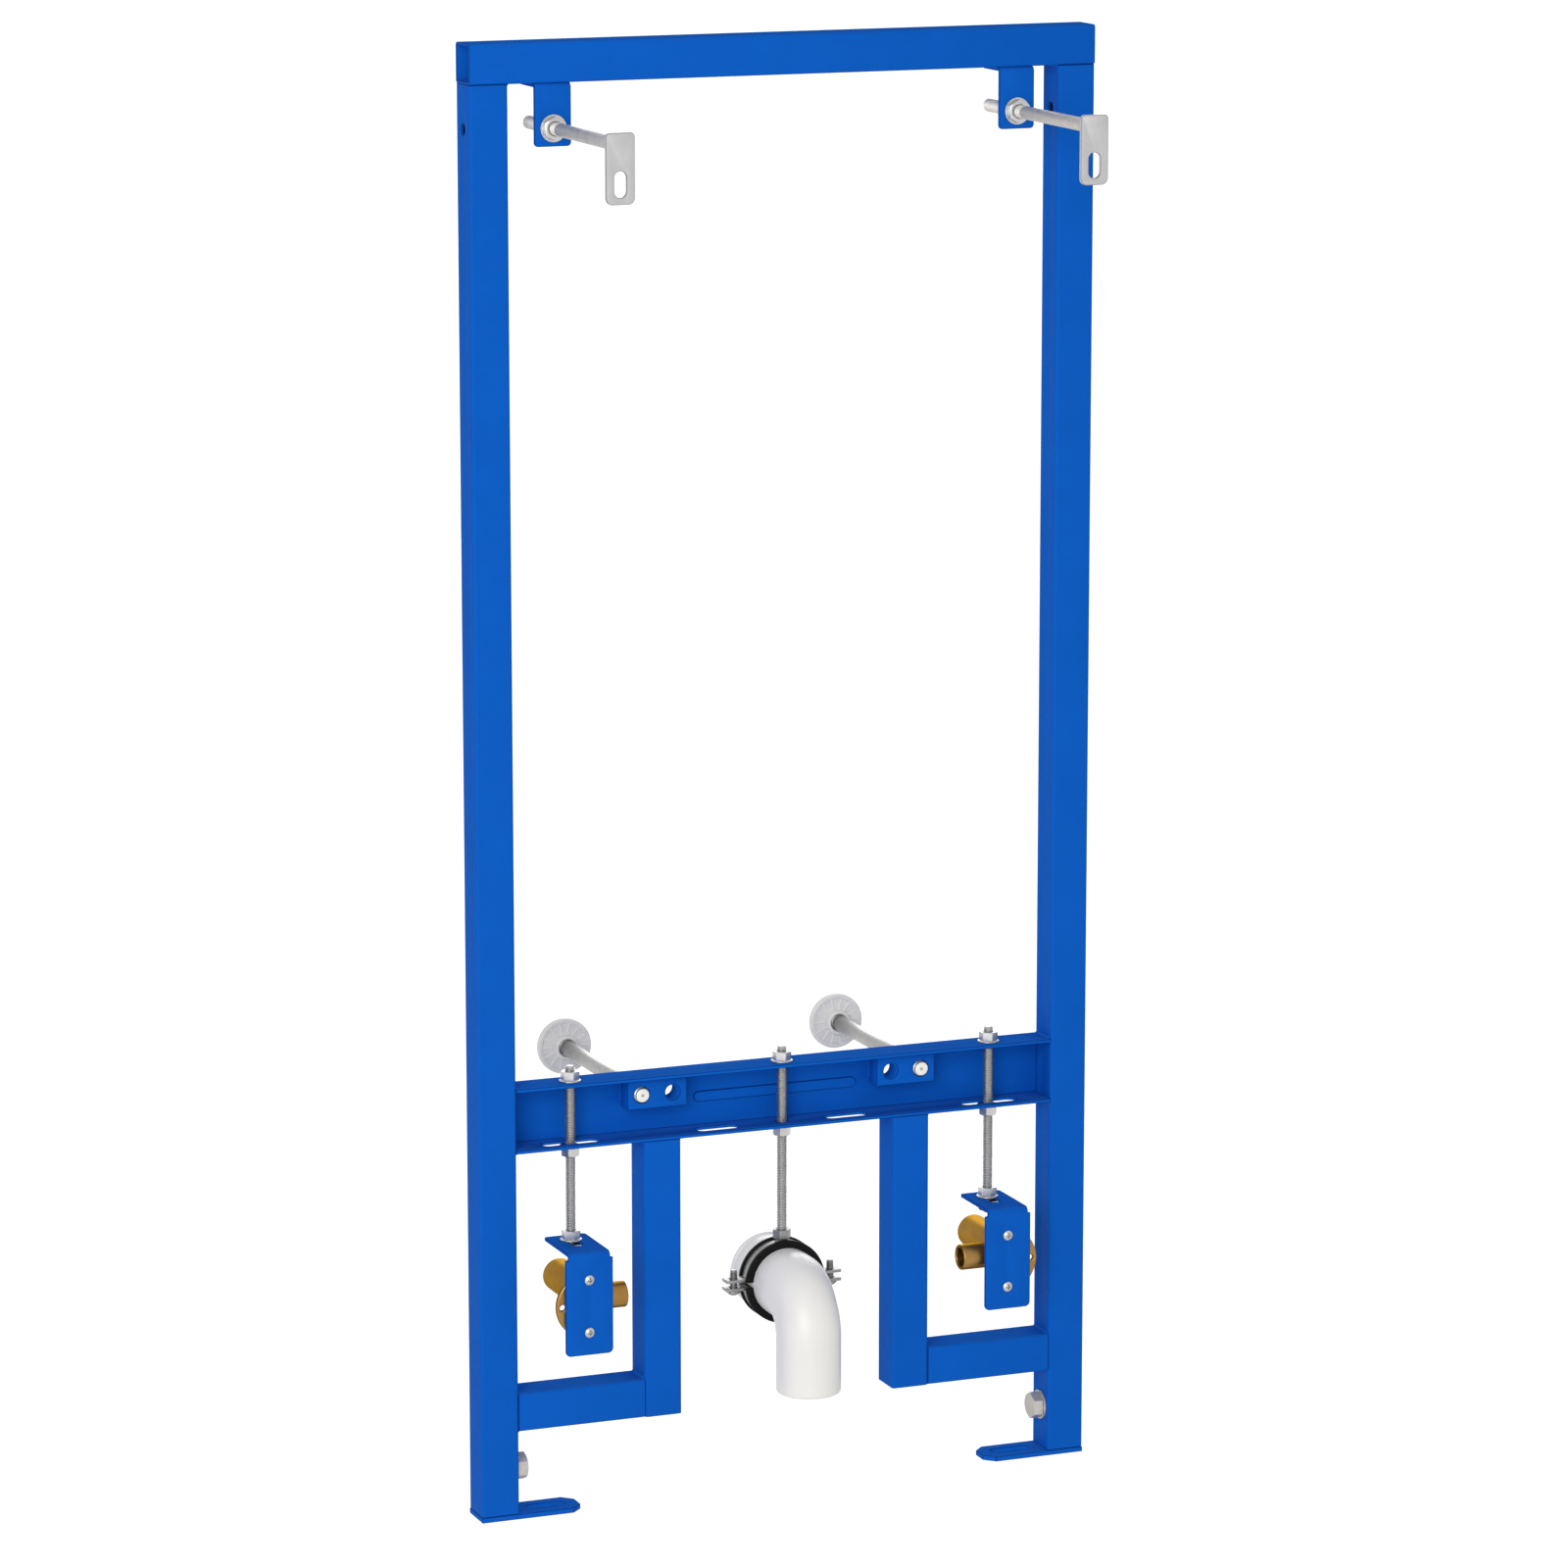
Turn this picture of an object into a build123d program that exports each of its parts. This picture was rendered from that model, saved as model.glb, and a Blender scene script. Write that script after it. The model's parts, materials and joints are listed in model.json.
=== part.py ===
from build123d import *
import math
import os

# Wall-hung bidet installation frame, in millimetres.
# The frame is drawn about its middle at floor level: X to the right as the bidet side sees it,
# Y towards the wall, Z up. Every node is then moved so that the origin lies on the wall face
# of the left wall plate, on its rod's axis.

# Main frame of square tube
frame_width = 500.0
frame_height = 1120.0
tube_side = 30.0
tube_wall = 2.0
tube_corner = 2.5
side_hole_radius = 4.5
side_hole_below_rail = 33.0
lower_rail_bottom = 69.0
inner_leg_inset = 147.5

# Telescopic feet
foot_plate_thickness = 4.0
foot_plate_length = 82.0
foot_corner_cut = 8.0
foot_running_gap = 0.3
foot_stem_side = 25.0
foot_stem_wall = 1.5
foot_stem_corner = 2.0
foot_travel = 200.0
foot_engagement = 60.0
foot_slot_width = 11.0
foot_slot_length = 32.0
foot_slot_from_tip = 26.0
foot_bolt_height = 38.0
foot_bolt_radius = 6.0
foot_bolt_flats = 19.0
foot_bolt_head = 8.0
foot_bolt_washer_radius = 11.5
foot_bolt_washer = 1.5

# Cross channel with its slots, bead and stud bars
channel_height = 50.0
channel_wall = 2.5
channel_corner = 3.0
channel_slot_width = 12.0
hanger_slot_length = 47.0
middle_slot_length = 35.5
middle_slot_spacing = 106.0
bead_length = 134.0
bead_height = 8.0
bead_depth = 1.0
bead_above_channel = 24.5

# Bidet studs
stud_spacing = 230.0
spare_hole_spacing = 180.0
stud_height = 320.0
stud_above_channel = 34.0
stud_radius = 6.0
stud_inside = 2.0
stud_reach = 166.0
stud_bar_width = 48.0
stud_bar_height = 22.0
stud_bar_depth = 16.0
stud_nut_flats = 19.0
stud_nut_thickness = 10.0
stud_tip = 12.0
rosette_radius = 22.0
rosette_thickness = 4.0
rosette_rim = 2.0
rosette_hub_radius = 9.5
rosette_hub_length = 8.0

# Wall ties under the top rail
wall_tie_inset = 64.5
wall_rod_below_rail = 33.0
wall_rod_radius = 5.0
wall_rod_front = 54.0
wall_rod_reach = 138.0
tab_width = 28.5
tab_drop = 46.5
tab_thickness = 3.0
tab_corner = 3.0
tab_bend = 3.5
wall_nut_flats = 16.0
wall_nut_thickness = 5.0
wall_washer_radius = 10.2
wall_washer_thickness = 1.6
plate_width = 22.0
plate_height = 51.5
plate_thickness = 3.0
plate_above_rod = 9.0
plate_slot_width = 9.5
plate_slot_length = 19.0
plate_slot_from_bottom = 14.5
plate_bottom_corner = 5.0
plate_top_corner = 3.0

# Hanger rods below the cross channel
hanger_inset = 77.5
hanger_line = 2.0
hanger_rod_radius = 4.0
hanger_tip = 12.0
hanger_nut_flats = 13.0
hanger_nut_thickness = 6.5
hanger_nut_flange_radius = 8.4
hanger_nut_flange = 1.5

# Water elbow brackets
bracket_top = 212.0
bracket_height = 80.0
bracket_width = 38.0
bracket_relief = 2.2
bracket_thickness = 2.5
bracket_face = 42.5
bracket_depth = 55.5
bracket_bend = 4.0
bracket_corner = 4.0
bracket_back_corner = 3.0
bracket_slot_width = 9.0
bracket_slot_length = 25.0
elbow_drop = 42.0
screw_circle = 41.0
screw_radius = 2.0
screw_hole_radius = 2.3
screw_head_radius = 3.9
screw_head_height = 2.0

# Brass wall-plate elbows
elbow_disc_radius = 25.5
elbow_disc_inner_reach = 15.0
elbow_disc_thickness = 4.0
elbow_body_radius = 13.0
elbow_length = 66.0
elbow_port_rise = 7.5
elbow_front_bore_radius = 9.5
elbow_front_bore_depth = 17.0
elbow_side_axis = 9.5
elbow_side_rise = 2.5
elbow_side_root = 4.0
elbow_side_reach = 34.0
elbow_side_radius = 10.0
elbow_side_bore_radius = 7.5
elbow_water_way_radius = 6.5
elbow_screw_skin = 1.0

# Drain elbow and its clamp
drain_height = 163.0
drain_radius = 25.0
drain_wall = 2.0
drain_socket_radius = 30.0
drain_socket_length = 21.0
drain_socket_front = 33.0
drain_socket_bore_radius = 25.3
drain_bend_radius = 32.0
drain_leg_line = 57.0
drain_leg_bottom = 89.0
drain_end_chamfer = 1.2
clamp_band_width = 11.0
clamp_band_thickness = 2.0
clamp_rubber_thickness = 3.8
clamp_lip_width = 3.0
clamp_lip_height = 1.4
clamp_gap = 4.2
clamp_ear_reach = 47.5
clamp_ear_thickness = 2.5
clamp_screw_line = 40.0
clamp_screw_radius = 3.0
clamp_screw_tail = 7.0
clamp_screw_head_radius = 5.5
clamp_screw_head = 4.0
clamp_neck_radius = 5.0
clamp_nut_height = 7.0
clamp_nut_above_lips = 0.6
clamp_nut_flats = 13.0

# Clearances
stem_clearance = (tube_side - 2 * tube_wall - foot_stem_side) / 2
hole_clearance = 0.3
bolt_hole_clearance = 0.5
seat_clearance = 0.3

# Lines worked out from the sizes above
half_width = frame_width / 2
half_tube = tube_side / 2
post_line = half_width - half_tube
post_inner_face = half_width - tube_side
rail_bottom = frame_height - tube_side
side_hole_height = rail_bottom - side_hole_below_rail
post_bottom = foot_plate_thickness + foot_running_gap
channel_bottom = stud_height - stud_above_channel
channel_top = channel_bottom + channel_height
bead_centre = channel_bottom + bead_above_channel
inner_leg_spacing = frame_width - 2 * inner_leg_inset
leg_line = inner_leg_spacing / 2
stud_line = stud_spacing / 2
spare_hole_line = spare_hole_spacing / 2
web_front = -half_tube
web_back = web_front + channel_wall
wall_tie_spacing = frame_width - 2 * wall_tie_inset
tie_line = wall_tie_spacing / 2
tie_height = rail_bottom - wall_rod_below_rail
wall_face = half_tube + wall_rod_reach + plate_thickness
hanger_spacing = frame_width - 2 * hanger_inset
hanger_side_line = hanger_spacing / 2
elbow_height = bracket_top - elbow_drop
bracket_back = bracket_face - bracket_thickness
rubber_outer = drain_radius + hole_clearance + clamp_rubber_thickness
band_inner = rubber_outer + hole_clearance / 2
band_outer = band_inner + clamp_band_thickness
origin_offset = Pos(tie_line, -wall_face, -tie_height)


# Small building blocks
def block(x0, x1, y0, y1, z0, z1):
    size = Box(abs(x1 - x0), abs(y1 - y0), abs(z1 - z0))
    return Pos((x0 + x1) / 2, (y0 + y1) / 2, (z0 + z1) / 2) * size


def rod_x(radius, x0, x1, y, z):
    return Pos((x0 + x1) / 2, y, z) * Rot(0, 90, 0) * Cylinder(radius, abs(x1 - x0))


def rod_y(radius, y0, y1, x, z):
    return Pos(x, (y0 + y1) / 2, z) * Rot(90, 0, 0) * Cylinder(radius, abs(y1 - y0))


def rod_z(radius, z0, z1, x, y):
    return Pos(x, y, (z0 + z1) / 2) * Cylinder(radius, abs(z1 - z0))


def slot_z(length, width, z0, z1, x, y, turn=0):
    profile = SlotOverall(length, width)
    return Pos(x, y, z0) * Rot(0, 0, turn) * extrude(profile, amount=z1 - z0)


def square_tube(side, wall, corner, length):
    outer = RectangleRounded(side, side, corner)
    inner = RectangleRounded(side - 2 * wall, side - 2 * wall, max(corner - wall, 0.5))
    return extrude(outer - inner, amount=length)


def chamfered_rod(radius, length, chamfer_size):
    profile = Polyline(
        (0, 0),
        (radius - chamfer_size, 0),
        (radius, chamfer_size),
        (radius, length - chamfer_size),
        (radius - chamfer_size, length),
        (0, length),
        close=True,
    )
    return revolve(Plane.XZ * make_face(profile), Axis.Z)


def hex_nut(flats, thickness, bore_radius):
    # Nut standing on the XY plane, its top corners rounded off by a cone.
    corner = flats / math.sqrt(3)
    body = extrude(RegularPolygon(corner, 6), amount=thickness)
    cone_profile = Polyline(
        (0, 0),
        (corner + 0.1, 0),
        (corner + 0.1, thickness - (corner - flats / 2) * 0.6),
        (flats / 2, thickness),
        (0, thickness),
        close=True,
    )
    body = body & revolve(Plane.XZ * make_face(cone_profile), Axis.Z)
    if bore_radius > 0:
        body = body - Pos(0, 0, thickness / 2) * Cylinder(bore_radius, thickness * 2)
    return body


def washer(radius, thickness, bore_radius):
    ring = Cylinder(radius, thickness) - Cylinder(bore_radius, thickness * 2)
    return Pos(0, 0, thickness / 2) * ring


# Turning a piece that stands on XY so that its top points along a given way
def facing_wall(piece, x, y, z):
    return Pos(x, y, z) * Rot(-90, 0, 0) * piece


def facing_front(piece, x, y, z):
    return Pos(x, y, z) * Rot(90, 0, 0) * piece


def facing_down(piece, x, y, z):
    return Pos(x, y, z) * Rot(180, 0, 0) * piece


# Square tube frame
def make_post(side):
    length = rail_bottom - post_bottom
    post = Pos(side * post_line, 0, post_bottom) * square_tube(tube_side, tube_wall, tube_corner, length)
    outside = side * (half_width + 1)
    inside = side * (post_inner_face - 1)
    cross_hole = rod_x(side_hole_radius, outside, inside, 0, side_hole_height)
    bolt_hole_radius = foot_bolt_radius + bolt_hole_clearance
    bolt_hole = rod_x(bolt_hole_radius, inside, side * post_line, 0, foot_bolt_height)
    return post - cross_hole - bolt_hole


def make_top_rail():
    tube = square_tube(tube_side, tube_wall, tube_corner, frame_width)
    return Pos(-half_width, 0, rail_bottom + half_tube) * Rot(0, 90, 0) * tube


def make_inner_leg(side):
    length = channel_bottom - lower_rail_bottom
    tube = square_tube(tube_side, tube_wall, tube_corner, length)
    return Pos(side * leg_line, 0, lower_rail_bottom) * tube


def make_lower_rail(side):
    start = leg_line + half_tube
    length = post_inner_face - start
    tube = square_tube(tube_side, tube_wall, tube_corner, length)
    middle = Pos(-length / 2, 0, 0)
    turned = Rot(0, 90, 0) * tube
    return Pos(side * (start + length / 2), 0, lower_rail_bottom + half_tube) * middle * turned


# Telescopic feet
def make_foot(side):
    tip = half_width - foot_plate_length
    outline = Polyline(
        (side * half_width, -half_tube),
        (side * (tip + foot_corner_cut), -half_tube),
        (side * tip, -half_tube + foot_corner_cut),
        (side * tip, half_tube - foot_corner_cut),
        (side * (tip + foot_corner_cut), half_tube),
        (side * half_width, half_tube),
        close=True,
    )
    plate = extrude(make_face(outline), amount=foot_plate_thickness, dir=(0, 0, 1))
    slot_centre = side * (tip + foot_slot_from_tip)
    slot_top = foot_plate_thickness + 1
    plate = plate - slot_z(foot_slot_length, foot_slot_width, -1, slot_top, slot_centre, 0)
    stem_length = foot_travel + foot_engagement
    stem = square_tube(foot_stem_side, foot_stem_wall, foot_stem_corner, stem_length)
    stem = Pos(side * post_line, 0, foot_plate_thickness) * stem
    return plate + stem


def make_foot_bolt(side):
    seat = post_inner_face
    head_face = seat - foot_bolt_washer
    tip = seat + tube_wall + stem_clearance - seat_clearance
    shank = rod_x(foot_bolt_radius, side * tip, side * head_face, 0, foot_bolt_height)
    ring = rod_x(foot_bolt_washer_radius, side * seat, side * head_face, 0, foot_bolt_height)
    head = Rot(0, 0, 30) * hex_nut(foot_bolt_flats, foot_bolt_head, 0)
    head = Pos(side * head_face, 0, foot_bolt_height) * Rot(0, -90 * side, 0) * head
    return shank + ring + head


# Cross channel, open towards the wall
def make_cross_channel():
    end = post_inner_face
    outer = block(-end, end, web_front, half_tube, channel_bottom, channel_top)
    front_edges = outer.edges().filter_by(Axis.X).group_by(Axis.Y)[0]
    outer = fillet(front_edges, channel_corner)
    inner = block(
        -end - 1,
        end + 1,
        web_back,
        half_tube + 1,
        channel_bottom + channel_wall,
        channel_top - channel_wall,
    )
    channel = outer - inner
    slot_low = channel_bottom - 1
    slot_high = channel_bottom + channel_wall + 1
    for side in (-1, 1):
        hanger = side * hanger_side_line
        middle = side * middle_slot_spacing / 2
        for length, line in ((hanger_slot_length, hanger), (middle_slot_length, middle)):
            channel -= slot_z(length, channel_slot_width, slot_low, slot_high, line, hanger_line)
        stud_hole = stud_radius + hole_clearance
        for line in (stud_line, spare_hole_line):
            channel -= rod_y(stud_hole, web_front - 1, web_back + 1, side * line, stud_height)
    rod_hole = hanger_rod_radius + bolt_hole_clearance
    for line in (-hanger_side_line, 0, hanger_side_line):
        channel -= rod_z(rod_hole, channel_top - channel_wall - 1, channel_top + 1, line, hanger_line)
    channel -= rod_z(rod_hole, slot_low, slot_high, 0, hanger_line)
    bead_profile = Plane.XZ * SlotOverall(bead_length, bead_height)
    bead = Pos(0, web_back + bead_depth, bead_centre) * extrude(bead_profile, amount=bead_depth)
    return channel + bead


def make_stud_bar(side):
    near = min(stud_line, spare_hole_line)
    far = max(stud_line, spare_hole_line)
    middle = side * (near + far) / 2
    low = stud_height - stud_bar_height / 2
    bar = block(
        middle - stud_bar_width / 2,
        middle + stud_bar_width / 2,
        web_back,
        web_back + stud_bar_depth,
        low,
        low + stud_bar_height,
    )
    hole_radius = stud_radius + hole_clearance
    for line in (near, far):
        bar -= rod_y(hole_radius, web_back - 1, web_back + stud_bar_depth + 1, side * line, stud_height)
    return bar


# Bidet studs and what sits on them
def stud_ends():
    start = web_back + stud_bar_depth + stud_inside
    rosette_back = start - stud_reach - rosette_hub_length
    finish = rosette_back - rosette_thickness - stud_nut_thickness - stud_tip
    return start, rosette_back, finish


def make_stud(side):
    start, rosette_back, finish = stud_ends()
    stud = chamfered_rod(stud_radius, start - finish, 1.0)
    return facing_front(stud, side * stud_line, start, stud_height)


def make_stud_nuts(side):
    start, rosette_back, finish = stud_ends()
    nut = hex_nut(stud_nut_flats, stud_nut_thickness, stud_radius + hole_clearance)
    lock = facing_front(nut, side * stud_line, web_front, stud_height)
    outer = facing_front(nut, side * stud_line, rosette_back - rosette_thickness, stud_height)
    return Compound(children=[lock, outer])


def make_rosette(side):
    start, rosette_back, finish = stud_ends()
    rim = rosette_radius
    profile = Polyline(
        (stud_radius + hole_clearance, 0),
        (rosette_hub_radius, 0),
        (rosette_hub_radius, rosette_hub_length),
        (rim - rosette_rim, rosette_hub_length),
        (rim - rosette_rim, rosette_hub_length - rosette_rim),
        (rim, rosette_hub_length - rosette_rim),
        (rim, rosette_hub_length + rosette_thickness - 1),
        (rim - 1, rosette_hub_length + rosette_thickness),
        (stud_radius + hole_clearance, rosette_hub_length + rosette_thickness),
        close=True,
    )
    disc = revolve(Plane.XZ * make_face(profile), Axis.Z)
    return facing_front(disc, side * stud_line, rosette_back + rosette_hub_length, stud_height)


# Wall ties
def make_wall_tab(side):
    bottom = rail_bottom - tab_drop
    outer = block(0, tab_width, -half_tube, half_tube, bottom, rail_bottom)
    bend = outer.edges().filter_by(Axis.X).group_by(Axis.Y)[-1].sort_by(Axis.Z)[-1]
    outer = fillet(bend, tab_bend)
    inner = block(
        -1,
        tab_width + 1,
        -half_tube - 1,
        half_tube - tab_thickness,
        bottom - 1,
        rail_bottom - tab_thickness,
    )
    tab = outer - inner
    corners = tab.edges().filter_by(Axis.Y).group_by(Axis.Z)[0]
    tab = fillet(corners, tab_corner)
    tab = Pos(side * tie_line - tab_width / 2, 0, 0) * tab
    hole_radius = wall_rod_radius + bolt_hole_clearance
    return tab - rod_y(hole_radius, 0, half_tube + 1, side * tie_line, tie_height)


def make_wall_rod(side):
    start = half_tube - wall_rod_front
    rod = chamfered_rod(wall_rod_radius, half_tube + wall_rod_reach - start, 0.8)
    return facing_wall(rod, side * tie_line, start, tie_height)


def make_wall_nuts(side):
    bore = wall_rod_radius + hole_clearance
    ring = washer(wall_washer_radius, wall_washer_thickness, bore)
    nut = Pos(0, 0, wall_washer_thickness) * hex_nut(wall_nut_flats, wall_nut_thickness, bore)
    set_of_two = ring + nut
    near = facing_wall(set_of_two, side * tie_line, half_tube, tie_height)
    far = facing_front(set_of_two, side * tie_line, half_tube - tab_thickness, tie_height)
    return Compound(children=[near, far])


def make_wall_plate(side):
    top = tie_height + plate_above_rod
    bottom = top - plate_height
    plate = block(0, plate_width, wall_face - plate_thickness, wall_face, bottom, top)
    low = plate.edges().filter_by(Axis.Y).group_by(Axis.Z)[0]
    plate = fillet(low, plate_bottom_corner)
    high = plate.edges().filter_by(Axis.Y).group_by(Axis.Z)[-1]
    plate = fillet(high, plate_top_corner)
    plate = Pos(side * tie_line - plate_width / 2, 0, 0) * plate
    slot = Plane.XZ * Rot(0, 0, 90) * SlotOverall(plate_slot_length, plate_slot_width)
    slot = extrude(slot, amount=plate_thickness * 4, both=True)
    slot_centre = bottom + plate_slot_from_bottom
    return plate - Pos(side * tie_line, wall_face, slot_centre) * slot


# Hanger rods and nuts
def make_hanger_rod(line, bottom):
    top = channel_top + hanger_tip
    rod = chamfered_rod(hanger_rod_radius, top - bottom, 0.7)
    return Pos(line, hanger_line, bottom) * rod


def flange_nut():
    bore = hanger_rod_radius + hole_clearance
    ring = washer(hanger_nut_flange_radius, hanger_nut_flange, bore)
    return ring + Pos(0, 0, hanger_nut_flange) * hex_nut(hanger_nut_flats, hanger_nut_thickness, bore)


def channel_nuts(line):
    above = Pos(line, hanger_line, channel_top) * flange_nut()
    below = facing_down(flange_nut(), line, hanger_line, channel_bottom)
    return [above, below]


def make_side_hanger_nuts(side):
    line = side * hanger_side_line
    above = Pos(line, hanger_line, bracket_top) * flange_nut()
    below = facing_down(flange_nut(), line, hanger_line, bracket_top - bracket_thickness)
    return Compound(children=channel_nuts(line) + [above, below])


def make_centre_hanger_nuts():
    return Compound(children=channel_nuts(0))


# Water elbow brackets
def make_elbow_bracket(side):
    bottom = bracket_top - bracket_height
    back = bracket_face - bracket_depth
    outer = block(0, bracket_width, back, bracket_face, bottom, bracket_top)
    bend = outer.edges().filter_by(Axis.X).group_by(Axis.Y)[-1].sort_by(Axis.Z)[-1]
    outer = fillet(bend, bracket_bend)
    inside_top = bracket_top - bracket_thickness
    inner = block(-1, bracket_width + 1, back - 1, bracket_back, bottom - 1, inside_top)
    bracket = outer - inner
    low = bracket.edges().filter_by(Axis.Y).group_by(Axis.Z)[0]
    bracket = fillet(low, bracket_corner)
    relief_bottom = bracket_top - bracket_bend - 1
    right_relief = bracket_width - bracket_relief
    for start, finish in ((-1, bracket_relief), (right_relief, bracket_width + 1)):
        bracket -= block(start, finish, back - 1, bracket_face + 1, relief_bottom, bracket_top + 1)
    rear = bracket.edges().filter_by(Axis.Z).group_by(Axis.Y)[0]
    bracket = fillet(rear, bracket_back_corner)
    bracket = Pos(side * hanger_side_line - bracket_width / 2, 0, 0) * bracket
    slot_centre = hanger_line + bracket_slot_length / 2 - bracket_slot_width / 2 - 2
    line = side * hanger_side_line
    low = inside_top - 1
    high = bracket_top + 1
    bracket -= slot_z(bracket_slot_length, bracket_slot_width, low, high, line, slot_centre, 90)
    for step in (-1, 1):
        height = elbow_height + step * screw_circle / 2
        bracket -= rod_y(screw_hole_radius, bracket_back - 1, bracket_face + 1, line, height)
    return bracket


def make_elbow_screws(side):
    line = side * hanger_side_line
    tail = bracket_back - elbow_disc_thickness + elbow_screw_skin + hole_clearance
    screws = []
    for step in (-1, 1):
        height = elbow_height + step * screw_circle / 2
        shank = rod_y(screw_radius, tail, bracket_face, line, height)
        head = Cylinder(screw_head_radius, screw_head_height)
        head = fillet(head.edges().group_by(Axis.Z)[-1], screw_head_height * 0.7)
        head = Pos(0, 0, screw_head_height / 2) * head
        screws.append(shank + facing_wall(head, line, bracket_face, height))
    return Compound(children=screws)


# Brass wall-plate elbows
def make_brass_elbow(side):
    line = side * hanger_side_line
    back = bracket_back
    front = back - elbow_length
    disc_front = back - elbow_disc_thickness
    port_height = elbow_height + elbow_port_rise
    side_height = elbow_height + elbow_side_rise
    disc = rod_y(elbow_disc_radius, disc_front, back, line, elbow_height)
    flat = line - side * elbow_disc_inner_reach
    beyond = line - side * (elbow_disc_radius + 1)
    low = elbow_height - elbow_disc_radius - 1
    high = elbow_height + elbow_disc_radius + 1
    disc -= block(flat, beyond, disc_front - 1, back + 1, low, high)
    body = rod_y(elbow_body_radius, front, back, line, port_height)
    port_y = disc_front - elbow_side_axis
    port_root = line + side * elbow_side_root
    port_end = line - side * elbow_side_reach
    port = rod_x(elbow_side_radius, port_root, port_end, port_y, side_height)
    elbow = disc + body + port
    for step in (-1, 1):
        z = elbow_height + step * screw_circle / 2
        elbow -= rod_y(screw_hole_radius, disc_front + elbow_screw_skin, back + 1, line, z)
    ear_line = line + side * screw_circle / 2
    elbow -= rod_y(screw_hole_radius, disc_front - 1, back + 1, ear_line, elbow_height)
    elbow -= rod_y(elbow_front_bore_radius, front - 1, front + elbow_front_bore_depth, line, port_height)
    elbow -= rod_y(elbow_water_way_radius, front, port_y, line, port_height)
    elbow -= rod_x(elbow_side_bore_radius, line, port_end - side, port_y, side_height)
    return elbow


# Drain elbow and clamp
def drain_path():
    straight_end = drain_leg_line - drain_bend_radius
    start = (0, hanger_line - drain_socket_front, drain_height)
    turn_in = (0, straight_end, drain_height)
    turn_out = (0, drain_leg_line, drain_height - drain_bend_radius)
    finish = (0, drain_leg_line, drain_leg_bottom)
    middle_angle = math.radians(45)
    middle = (
        0,
        straight_end + drain_bend_radius * math.sin(middle_angle),
        drain_height - drain_bend_radius * (1 - math.cos(middle_angle)),
    )
    return Line(start, turn_in) + ThreePointArc(turn_in, middle, turn_out) + Line(turn_out, finish), start


def make_drain_elbow():
    path, start = drain_path()
    face_plane = Plane(origin=start, z_dir=(0, 1, 0))
    outer = sweep(face_plane * Circle(drain_radius), path=path)
    inner = sweep(face_plane * Circle(drain_radius - drain_wall), path=path)
    end_edge = outer.edges().filter_by(GeomType.CIRCLE).group_by(Axis.Z)[0]
    outer = chamfer(end_edge, drain_end_chamfer)
    front = start[1]
    socket = rod_y(drain_socket_radius, front, front + drain_socket_length, 0, drain_height)
    socket = fillet(socket.edges().filter_by(GeomType.CIRCLE), 1.5)
    bore_end = front + drain_socket_length - 3
    bore = rod_y(drain_socket_bore_radius, front - 1, bore_end, 0, drain_height)
    return outer + socket - inner - bore


def half_ring(inner, outer, width, upper):
    ring = rod_y(outer, hanger_line - width / 2, hanger_line + width / 2, 0, drain_height)
    ring -= rod_y(inner, hanger_line - width, hanger_line + width, 0, drain_height)
    reach = outer + 1
    way = 1 if upper else -1
    low = drain_height + way * clamp_gap / 2
    high = drain_height + way * reach
    keep = block(-reach, reach, hanger_line - width, hanger_line + width, min(low, high), max(low, high))
    return ring & keep


def make_clamp_half(upper):
    band = half_ring(band_inner, band_outer, clamp_band_width, upper)
    way = 1 if upper else -1
    inner_edge = math.sqrt(band_inner ** 2 - (clamp_gap / 2) ** 2) + 0.5
    first = drain_height + way * clamp_gap / 2
    second = first + way * clamp_ear_thickness
    low = min(first, second)
    high = max(first, second)
    front = hanger_line - clamp_band_width / 2
    back = hanger_line + clamp_band_width / 2
    hole_radius = clamp_screw_radius + hole_clearance
    for side in (-1, 1):
        band += block(side * inner_edge, side * clamp_ear_reach, front, back, low, high)
        band -= rod_z(hole_radius, low - 1, high + 1, side * clamp_screw_line, hanger_line)
    return band


def clamp_nut_bottom():
    return drain_height + band_outer + clamp_lip_height + clamp_nut_above_lips


def make_clamp_upper_half():
    band = make_clamp_half(True)
    base = drain_height + band_inner + clamp_band_thickness / 2
    seat = clamp_nut_bottom()
    top = seat + clamp_nut_height
    neck = rod_z(clamp_neck_radius, base, seat + 0.5, 0, hanger_line)
    nut = Pos(0, hanger_line, seat) * hex_nut(clamp_nut_flats, clamp_nut_height, 0)
    bore = hanger_rod_radius + hole_clearance
    return band + neck + nut - rod_z(bore, seat, top + 1, 0, hanger_line)


def make_clamp_rubber():
    halves = []
    for upper in (True, False):
        lining = half_ring(drain_radius + hole_clearance, rubber_outer, clamp_band_width, upper)
        lip_outer = band_outer + clamp_lip_height
        lip_width = clamp_band_width + 2 * clamp_lip_width
        lip_ring = half_ring(drain_radius + hole_clearance, lip_outer, lip_width, upper)
        clear = half_ring(rubber_outer, lip_outer + 1, clamp_band_width, upper)
        halves.append(lining + (lip_ring - clear))
    return Compound(children=halves)


def make_clamp_screws():
    upper_face = drain_height + clamp_gap / 2 + clamp_ear_thickness
    lower_face = drain_height - clamp_gap / 2 - clamp_ear_thickness
    screws = []
    for side in (-1, 1):
        line = side * clamp_screw_line
        shank = rod_z(clamp_screw_radius, lower_face, upper_face + clamp_screw_tail, line, hanger_line)
        head = rod_z(clamp_screw_head_radius, lower_face - clamp_screw_head, lower_face, line, hanger_line)
        head = fillet(head.edges().group_by(Axis.Z)[0], 1.2)
        screws.append(shank + head)
    return Compound(children=screws)


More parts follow.
